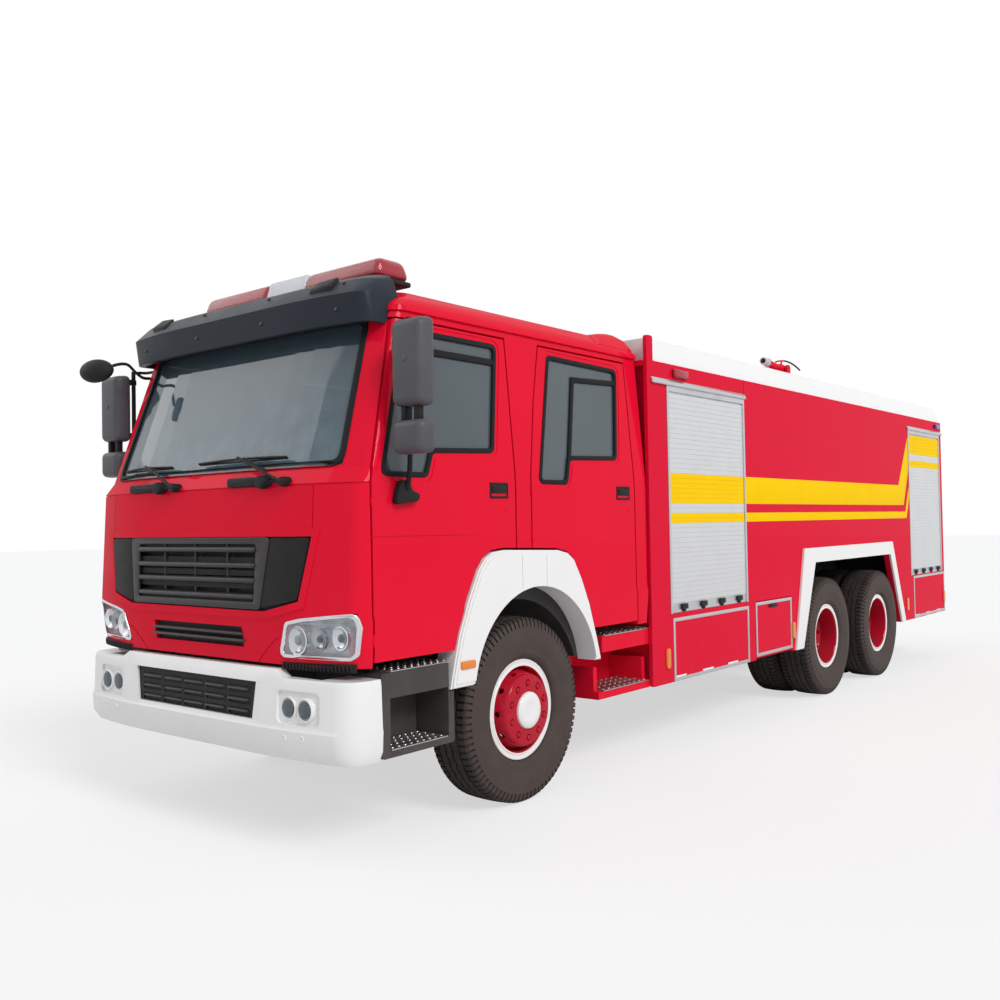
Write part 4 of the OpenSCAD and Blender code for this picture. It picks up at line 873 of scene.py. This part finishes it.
# The light bar: a dark base on two feet on the roof, with fluted red lenses either side of a
# clear middle part under which the horn sits.
bar_low, bar_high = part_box("light_bar")
bar_top, bar_y0, bar_y1 = bar_high.z, bar_low.y - axle_y, bar_high.y - axle_y
bar_middle = axle_y + (bar_y0 + bar_y1) / 2


def fluted(name, colour, second, clear):
    made = glazing(name, colour, second, clear)
    tree = made.node_tree
    place = add(tree, "TexCoord", {}).outputs["Object"]
    ribs = add(tree, "TexWave", {"Vector": place, "Scale": 34.0, "Distortion": 0.0}, bands_direction="X")
    bump = add(tree, "Bump", {"Strength": 0.35, "Distance": 0.002, "Height": ribs.outputs["Fac"]})
    tree.links.new(bump.outputs[0], tree.nodes["Principled BSDF"].inputs["Normal"])
    return made


red_lens = fluted("red_lens", (0.42, 0.008, 0.022), (0.30, 0.006, 0.016), 0.92)
white_lens = fluted("white_lens", (0.70, 0.72, 0.76), (0.55, 0.57, 0.62), 0.85)
base = block("bar_base", -0.838, 0.838, bar_y0 + 0.004, bar_y1 - 0.004, bar_top - 0.150, bar_top - 0.118)
soften(base, 0.012, 2)
feet = [soften(block("foot", x - 0.07, x + 0.07, bar_y0 + 0.05, bar_y1 - 0.05, bar_low.z, bar_top - 0.140),
               0.012) for x in (-0.49, 0.49)]
ride_with(joined("light_bar_base", [base] + feet), moulded_black, "chassis")
for name, x0, x1, about, share, edge, coat, slot in [
        ("light_bar_red_left", 0.190, 0.840, 0.19, 0.97, 0.044, red_lens, "lamp_red"),
        ("light_bar_red_right", -0.840, -0.170, -0.17, 0.97, 0.044, red_lens, "lamp_red"),
        ("light_bar_clear", -0.168, 0.188, -0.17, 1.0, 0.012, white_lens, "lamp_clear")]:
    lens = narrowed(block(name, x0, x1, bar_y0, bar_y1, bar_top - 0.118, bar_top), (0, 0, 1),
                    (share, 0.72, 1), (about, bar_middle, bar_top))
    ride_with(soften(lens, edge, 5), coat, "chassis")
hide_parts("light_bar")

# The mirrors: black moulded heads with silvered glass towards the back, clamped to a bent tube
# that stands on a cast bracket on each front door.
mirror_silver = finish("mirror_silver", (0.72, 0.76, 0.80), (0.62, 0.66, 0.70), 3, 0.05, metal=1.0, wobble=0.02)
head_grey = finish("mirror_head_plastic", (0.066, 0.065, 0.074), (0.092, 0.090, 0.100), 7, 0.40,
                   relief=0.15, grain=1300, wobble=0.05)
heads, panes = [], []
for z0, z1 in [(2.265, 2.720), (2.030, 2.205)]:
    head = narrowed(block("head", 1.275, 1.520, -1.225, -1.115, z0, z1), (0, -1, 0), (0.80, 1, 0.94),
                    (1.3975, axle_y - 1.225, (z0 + z1) / 2))
    soften(head, 0.036, 5, 30)
    heads.append(smooth(sunk(head, (0, 1, 0), 0.010, (0, -0.008, 0), 0.98), 40))
    panes.append(soften(block("pane", 1.322, 1.473, -1.125, -1.119, z0 + 0.047, z1 - 0.047), 0.0015, 2))
dimple = rod("dimple", (1.40, axle_y - 1.229, 2.505), (1.40, axle_y - 1.20, 2.505), 0.017, 20, 0.003)
post = tube("post", swept([(1.300, -1.090, 2.745), (1.302, -1.088, 2.50), (1.300, -1.090, 2.20),
                           (1.292, -1.085, 1.98), (1.262, -1.075, 1.860)], 8), 0.014, 16)
top = tube("top", swept([(1.300, -1.090, 2.735), (1.298, -1.045, 2.742), (1.270, -1.006, 2.742),
                         (1.160, -1.000, 2.742)], 8), 0.010, 16)
struts = [soften(block("strut", x, x + 0.035, -1.19, -1.15, 2.19, 2.29), 0.006) for x in (1.335, 1.425)]
clamps = [soften(block("clamp", 1.286, 1.314, -1.130, -1.074, z - 0.018, z + 0.018), 0.005)
          for z in (2.31, 2.67, 2.07, 2.16)]
foot_outline = [(-1.150, 1.790), (-1.000, 1.806), (-0.985, 1.832), (-1.040, 1.850), (-1.065, 1.900),
                (-1.110, 1.900), (-1.135, 1.850)]
foot = plate("foot", [rounded(foot_outline, 0.012, 4)], 0.040, 0.008,
             lambda spot: Vector((1.2465 + spot.z, spot.x + axle_y, spot.y)))
both_sides(joined("mirror_arm", [post, top, foot] + struts + clamps), moulded_black,
           "door_front")
shells = both_sides(joined("mirror_heads", heads + [dimple]), head_grey, "door_front")
both_sides(joined("mirror_panes", panes), mirror_silver, "door_front")
for shell, node in zip(shells, ("mirror_left", "mirror_right")):
    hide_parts(node)

# The front mirror: an oval moulded dish to see the bumper by. A bent rod screwed to the right
# windscreen post carries it.
let_go()
bpy.ops.mesh.primitive_uv_sphere_add(segments=40, ring_count=24, radius=1, location=(0, 0, 0))
oval = bpy.context.object
oval.name = "front_mirror_dish"
open_up()
bpy.ops.mesh.bisect(plane_co=(0, 0.25, 0), plane_no=(0, 1, 0), clear_outer=True, use_fill=True)
bpy.ops.mesh.select_all(action="SELECT")
bpy.ops.transform.resize(value=(0.126, 0.062, 0.080), center_override=(0, 0, 0))
bpy.ops.object.mode_set(mode="OBJECT")
oval.rotation_mode = "XYZ"
oval.rotation_euler = (math.radians(-24), math.radians(4), math.radians(18))
oval.location = (-1.122, axle_y - 1.452, 2.692)
settle()
ride_with(smooth(oval, 40), moulded_black, "chassis")
bend = [(-1.125, -1.415, 2.690), (-1.105, -1.345, 2.738), (-1.085, -1.265, 2.752), (-1.080, -1.205, 2.705),
        (-1.085, -1.150, 2.676), (-1.108, -1.085, 2.680)]
stalk = tube("front_mirror_rod", swept(bend, 8), 0.010, 14)
ride_with(stalk, moulded_black, "chassis")
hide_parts("front_mirror")

# The cab's inside: a moulded dashboard, a steering wheel on its column, two padded seats and a
# padded crew bench, all in dark cloth and plastic.
seat_cloth = finish("seat_cloth", (0.030, 0.032, 0.038), (0.065, 0.068, 0.078), 60, 0.85,
                    relief=0.6, grain=500, wobble=0.05)
dash_grey = finish("dash_plastic", (0.10, 0.10, 0.105), (0.15, 0.148, 0.145), 5, 0.60, relief=0.25, grain=900)
floor_z, cushion_z = 1.362, 1.50


def pad(name, x0, x1, y0, y1, z0, z1, swell, lean=0.0):
    """A stuffed pad: a block cut into a grid, blown out between its edges and rounded off."""
    piece = block(name, x0, x1, y0, y1, z0, z1)
    open_up()
    bpy.ops.mesh.subdivide(number_cuts=7)
    bpy.ops.object.mode_set(mode="OBJECT")
    mid = Vector(((x0 + x1) / 2, axle_y + (y0 + y1) / 2, (z0 + z1) / 2))
    half = Vector(((x1 - x0) / 2, (y1 - y0) / 2, (z1 - z0) / 2))
    for point in piece.data.vertices:
        u = [(point.co[k] - mid[k]) / half[k] for k in range(3)]
        for k in range(3):
            a, b = u[(k + 1) % 3], u[(k + 2) % 3]
            if abs(u[k]) > 0.99:
                point.co[k] += math.copysign(swell * ((1 - a * a) * (1 - b * b) - 0.45), u[k])
        point.co.y += lean * (point.co.z - z0)
    changed(piece, "SUBSURF", levels=1, render_levels=1)
    bpy.ops.object.shade_smooth()
    ride_with(piece, seat_cloth, "chassis")


def seat_box(name, x0, x1, y0, y1):
    stand = soften(block(name, x0, x1, y0, y1, floor_z, cushion_z + 0.005), 0.02)
    ride_with(stand, moulded_black, "chassis")


for name, x in [("driver", 0.56), ("mate", -0.56)]:
    pad(name + "_cushion", x - 0.25, x + 0.25, -0.66, -0.18, cushion_z, 1.68, 0.030)
    pad(name + "_back", x - 0.24, x + 0.24, -0.20, -0.07, 1.66, 2.28, 0.026, 0.17)
    pad(name + "_headrest", x - 0.14, x + 0.14, -0.085, 0.005, 2.31, 2.48, 0.020, 0.10)
    seat_box(name + "_seat_stand", x - 0.20, x + 0.20, -0.62, -0.22)
pad("crew_cushion", -0.95, 0.95, 0.56, 1.02, cushion_z, 1.69, 0.030)
pad("crew_back", -0.95, 0.95, 1.00, 1.12, 1.67, 2.30, 0.026, 0.10)
seat_box("crew_bench_box", -0.93, 0.93, 0.58, 1.00)
dash_outline = [(-1.200, 1.365), (-1.085, 1.365), (-1.015, 1.560), (-0.965, 1.860), (-0.985, 1.905),
                (-1.040, 1.950), (-1.200, 1.950)]
dash = plate("dashboard", [rounded(dash_outline, 0.03, 4)], 2.16, 0.02,
             lambda spot: Vector((spot.z, spot.x + axle_y, spot.y)))
hood = soften(block("hood", 0.30, 0.82, -1.150, -0.975, 1.90, 1.995), 0.035, 3)
ride_with(joined("dashboard", [dash, hood]), dash_grey, "chassis")
let_go()
bpy.ops.mesh.primitive_torus_add(major_segments=56, minor_segments=14, major_radius=0.215, minor_radius=0.016)
grip = bpy.context.object
spokes = []
for i in range(4):
    turn = math.radians(45 + 90 * i)
    spokes.append(rod("spoke", (0.04 * math.cos(turn), 0.04 * math.sin(turn), -0.01),
                      (0.212 * math.cos(turn), 0.212 * math.sin(turn), 0), 0.013, 14))
boss = rod("boss", (0, 0, -0.03), (0, 0, 0.02), 0.065, 32, 0.012)
column = rod("column", (0, 0, -0.30), (0, 0, -0.02), 0.030, 24)
steering = joined("steering_wheel", [grip, boss, column] + spokes)
steering.data.transform(Matrix.Translation((0.56, axle_y - 0.86, 1.905))
                        @ Matrix.Rotation(math.radians(-35), 4, "X"))
ride_with(smooth(steering, 40), moulded_black, "chassis")
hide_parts("cab_interior")

# The front steps: dark moulded boxes behind the bumper with bright stamped treads; the crew
# steps are welded red trays with the same treads.
tread_metal = finish("tread_metal", (0.60, 0.61, 0.62), (0.42, 0.42, 0.42), 16, 0.38, metal=1.0,
                     relief=0.1, grain=200, dust=0.35)
step_grey = finish("step_plastic", (0.030, 0.029, 0.030), (0.050, 0.047, 0.046), 9, 0.48,
                   relief=0.25, grain=1000, dust=0.30, shine=0.16)
sheet_of("front_steps", step_grey)
sheet_of("crew_steps", red_paint)


def row_of(piece, step, count):
    return changed(piece, "ARRAY", use_relative_offset=False, use_constant_offset=True,
                   constant_offset_displace=step, count=count)


for name, x0, x1, y0, y1, z in [("front_tread_high", 1.02, 1.232, -1.185, -0.730, 0.930),
                                ("front_tread_low", 1.00, 1.238, -1.190, -0.765, 0.535),
                                ("crew_tread_high", 0.95, 1.222, 0.790, 1.370, 0.920),
                                ("crew_tread_low", 0.93, 1.222, 0.770, 1.340, 0.560)]:
    sole = soften(block("sole", x0, x1, y0, y1, z + 0.0003, z + 0.007), 0.003)
    stud_x, stud_y = x0 + 0.03, axle_y + y0 + 0.03
    stud = rod("stud", (stud_x, stud_y, z + 0.006), (stud_x, stud_y, z + 0.012), 0.010, 8, 0.003)
    row_of(stud, ((x1 - x0 - 0.06) / 3, 0, 0), 4)
    row_of(stud, (0, (y1 - y0 - 0.06) / 8, 0), 9)
    both_sides(joined(name, [sole, stud]), tread_metal)

# The arches: white moulded fenders over the front wheels, each with an amber marker lamp, and
# white painted trims round the rear wheels.
amber_lens = fluted("amber_lens", (0.85, 0.25, 0.015), (0.70, 0.17, 0.010), 0.95)
sheet_of("wheel_arches", white_paint)
marker = soften(block("fender_marker", 1.240, 1.262, -0.672, -0.552, 0.880, 0.925), 0.009, 3)
both_sides(marker, amber_lens)

# The body: a red welded box on a black floor, with a white roof edge. Yellow tape runs along
# both sides and kinks up over the rear shutter; a dark seam parts the side's two sheets.
yellow_tape = finish("yellow_tape", (0.90, 0.58, 0.004), (0.86, 0.52, 0.003), 4, 0.34, lacquer=0.08,
                     relief=0.02, wobble=0.04, shine=0.0)
side_red = finish("body_red_paint", (0.69, 0.0050, 0.034), (0.645, 0.0043, 0.030), 1.1, 0.34, lacquer=0.16,
                  relief=0.010, grain=500, dust=0.05, dust_top=1.3, wobble=0.03, shine=0.0)
roof_white = finish("roof_white_paint", (0.82, 0.82, 0.81), (0.78, 0.78, 0.77), 2, 0.35, lacquer=0.3,
                    relief=0.012, wobble=0.04)
joint_dark = finish("panel_joint", (0.10, 0.004, 0.008), (0.07, 0.003, 0.006), 30, 0.6)
side_x = 1.245


def on_body_side(out=0.0):
    return lambda spot: Vector((side_x + 0.0009 + spot.z, spot.x + axle_y, spot.y)) + Vector((out, 0, 0))


dress("body_floor", chassis_black)
for node in ["body_sides", "body_ends"]:
    sheet_of(node, side_red)
sheet_of("body_roof", roof_white)
for name, line in [
        ("wide_tape", [(2.870, 1.800), (6.820, 1.800), (7.010, 2.194), (7.010, 2.575), (6.660, 2.020),
                       (2.870, 2.020)]),
        ("thin_tape", [(2.870, 1.654), (6.910, 1.654), (7.010, 1.867), (7.010, 2.010), (6.876, 1.727),
                       (2.870, 1.727)])]:
    both_sides(plate(name, [line], 0.0016, 0.0002, on_body_side()), yellow_tape)
seam = plate("body_side_seam", [oblong(2.868, 2.8712, 0.992, 2.812)], 0.0012, 0.0002, on_body_side())
both_sides(seam, joint_dark)

# The roller shutters: interlocked aluminium slats that run in side rails, with a drip rail over
# each and a bottom bar with black pull handles. The tape crosses the slats.
slat_metal = finish("shutter_aluminium", (0.66, 0.67, 0.68), (0.60, 0.61, 0.62), 4, 0.42, metal=0.55,
                    relief=0.05, grain=300, wobble=0.05)
rail_metal = finish("rail_aluminium", (0.60, 0.61, 0.63), (0.48, 0.49, 0.51), 7, 0.34, metal=0.8,
                    relief=0.04, grain=260)
slat_low, slat_pitch, slat_count = 1.070, 0.0365, 42
rail_low, rail_high = 2.655, 2.702
pull_rows = [("pull", 0.045, 0.016, 1.024, 1.064, 0.006), ("tab", 0.020, 0.010, 1.006, 1.032, 0.004)]
dress("roller_shutters", rail_metal)


def slats(name, wide):
    """One slat with a rounded face, repeated up the opening."""
    slat = block(name, 0, 0.0108, -wide / 2, wide / 2, slat_low + 0.0002, slat_low + slat_pitch - 0.0002)
    pick(slat, lambda mid, out: out.x > 0.9)
    bpy.ops.mesh.inset(thickness=0.0035)
    bpy.ops.transform.translate(value=(0.0017, 0, 0))
    return row_of(slat, (0, 0, slat_pitch), slat_count)


for place, y0, y1, before, after, bands in [
        ("front", 1.640, 2.834, 0.24, 0.04, [(1.654, 1.727), (1.800, 2.019)]),
        ("rear", 7.043, 8.162, 0.05, 0.11, [(2.2385, 2.3115), (2.384, 2.603)])]:
    stack = slats("shutter_slats_" + place, y1 - y0)
    stack.data.transform(Matrix.Translation((side_x - 0.0125, (y0 + y1) / 2, 0)))
    for face in stack.data.polygons:
        taped = any(low - 0.001 < face.center.z < high + 0.001 for low, high in bands)
        face.material_index = int(taped)
    for one in both_sides(stack, slat_metal):
        one.data.materials.append(yellow_tape)
    rail = block("drip_rail_" + place, side_x, side_x + 0.020, y0 - before, y1 + after, rail_low, rail_high)
    narrowed(rail, (1, 0, 0), (1, 1, 0.5), (side_x, axle_y, rail_low))
    both_sides(soften(rail, 0.004), rail_metal)
    pulls = []
    for k in range(4):
        y = y0 + (y1 - y0) * (0.14 + 0.25 * k)
        pulls += [soften(block(part, side_x - 0.004, side_x + out, y - half, y + half, low, high), edge, 2)
                  for part, half, out, low, high, edge in pull_rows]
    both_sides(joined("shutter_pulls_" + place, pulls), moulded_black)
back_stack = slats("shutter_slats_back", 1.236)
back_stack.data.transform(Matrix.Translation((0, axle_y + 8.2725, 0))
                          @ Matrix.Rotation(math.radians(90), 4, "Z")
                          @ Matrix.Translation((0, -axle_y, 0)))
ride_with(back_stack, slat_metal, "chassis")

# The lockers under the shutters: red doors in aluminium edge frames. Only the middle one has a
# pull and drops open; white reflectors and orange markers line the skirt.
reflect_white = finish("reflector_white", (0.80, 0.80, 0.80), (0.68, 0.68, 0.69), 120, 0.36,
                       relief=0.3, grain=700)
blue_lens = fluted("blue_lens", (0.02, 0.05, 0.45), (0.015, 0.03, 0.30), 0.95)
patch_long, patch_low, patch_high = 0.17, 0.514, 0.550


def frame_on_side(name, y0, y1, z0, z1, wide=0.024):
    return plate(name, [oblong(y0, y1, z0, z1), oblong(y0 + wide, y1 - wide, z0 + wide, z1 - wide)],
                 0.005, 0.001, on_body_side(0.0015))


both_sides(frame_on_side("front_locker_frame", 1.645, 2.868, 0.512, 0.966), rail_metal)
both_sides(frame_on_side("rear_locker_frame", 7.100, 8.268, 0.520, 0.990), rail_metal)
for node in ["flap_left", "flap_right"]:
    dress(node, side_red)
trim = frame_on_side("flap_frame", 2.998, 3.712, 0.538, 0.982)
pull = soften(block("flap_pull", side_x - 0.002, side_x + 0.012, 3.250, 3.420, 0.925, 0.952), 0.005, 2)
lever = soften(block("flap_lever", side_x + 0.006, side_x + 0.020, 3.275, 3.395, 0.936, 0.948), 0.004, 2)
grip = joined("flap_pull", [pull, lever])
both_sides(trim, rail_metal, "flap")
both_sides(grip, moulded_black, "flap")
patches = [block("patch", side_x, side_x + 0.0025, y, y + patch_long, patch_low, patch_high)
           for y in (1.652, 2.074, 2.488, 7.12, 7.52, 7.92)]
both_sides(soften(joined("skirt_reflectors", patches), 0.0008), reflect_white)
markers = [plate("oval", [rounded(oblong(y - 0.022, y + 0.022, 0.622, 0.756), 0.022, 6)], 0.016, 0.005,
                 on_body_side(0.006)) for y in (1.557, 3.742, 6.860, 8.235)]
both_sides(joined("side_markers", markers), amber_lens)
for name, out, y0, y1, low, coat, slot in [
        ("upper_side_lamp", 0.030, 1.700, 1.905, 2.722, red_lens, "lamp_red"),
        ("rear_side_lamp", 0.028, 8.020, 8.160, 2.732, blue_lens, "lamp_clear")]:
    lamp = soften(block(name, side_x - 0.001, side_x + out, y0, y1, low, 2.782), 0.012, 3)
    both_sides(lamp, coat)

# The rear: lamp clusters let into the wall in amber, red and white, a drip rail and pulls on the
# back shutter, reflectors along the skirt and a ladder of round aluminium tube bolted on.
back_y, lamp_z = 8.285, 0.690
sheet_of("tail_lamps", red_lens)
for name, x, coat, slot in [("tail_turn", 1.130, amber_lens, "lamp_red"),
                            ("tail_stop", 1.038, red_lens, "lamp_red"),
                            ("tail_reverse", 0.948, white_lens, "lamp_clear")]:
    lens = rod(name, (x, axle_y + back_y + 0.006, lamp_z), (x, axle_y + back_y + 0.016, lamp_z),
               0.040, 36, 0.005)
    both_sides(smooth(sunk(lens, (0, 1, 0), 0.012, (0, 0.003, 0))), coat)
rail = narrowed(block("back_drip_rail", -0.690, 0.690, back_y, back_y + 0.020, rail_low, rail_high), (0, 1, 0),
                (1, 1, 0.5), (0, axle_y, rail_low))
ride_with(soften(rail, 0.004), rail_metal, "chassis")
pulls = [soften(block(part, x - half, x + half, back_y - 0.004, back_y + out, low, high), edge, 2)
         for x in (-0.36, 0.36) for part, half, out, low, high, edge in pull_rows]
ride_with(joined("back_shutter_pulls", pulls), moulded_black, "chassis")
patches = [block("patch", x, x + patch_long, back_y, back_y + 0.0025, patch_low, patch_high)
           for x in (-1.20, -0.95, -0.70, 0.53, 0.78, 1.03)]
ride_with(soften(joined("back_reflectors", patches), 0.0008), reflect_white, "chassis")
sheet_of("rear_ladder", rail_metal, 40)

# The tank lids: two round steel covers on the roof deck, painted white, each with a raised rim
# and a bent lift handle welded on.
deck_z = 2.820
lids = []
for along in (3.10, 4.90):
    lid = rod("lid", (0, axle_y + along, deck_z + 0.0003), (0, axle_y + along, deck_z + 0.052),
              0.300, 64, 0.008)
    bend = [(-0.09, 0.038), (-0.085, 0.085), (0.0, 0.092), (0.085, 0.085), (0.09, 0.038)]
    lids += [sunk(lid, (0, 0, 1), 0.035, (0, 0, -0.012)),
             tube("lift", swept([(x, along, deck_z + rise) for x, rise in bend], 5), 0.008, 12)]
ride_with(smooth(joined("tank_lids", lids)), roof_white, "chassis")

# The roof monitor: a red cast swivel bolted to the deck. Its barrel, on two trunnions, has a
# grey nozzle tip and a long bent black handle.
handle_from, tip_from = 6.53, 6.07
for node in ["monitor_base", "monitor_head"]:
    sheet_of(node, red_paint, 40)
barrel = sheet_of("monitor_barrel", red_paint, 40)
barrel.data.materials.append(moulded_black)
barrel.data.materials.append(rail_metal)
for face in barrel.data.polygons:
    along = face.center.y - axle_y
    face.material_index = 1 if along > handle_from else 2 if along < tip_from else 0

let_go()
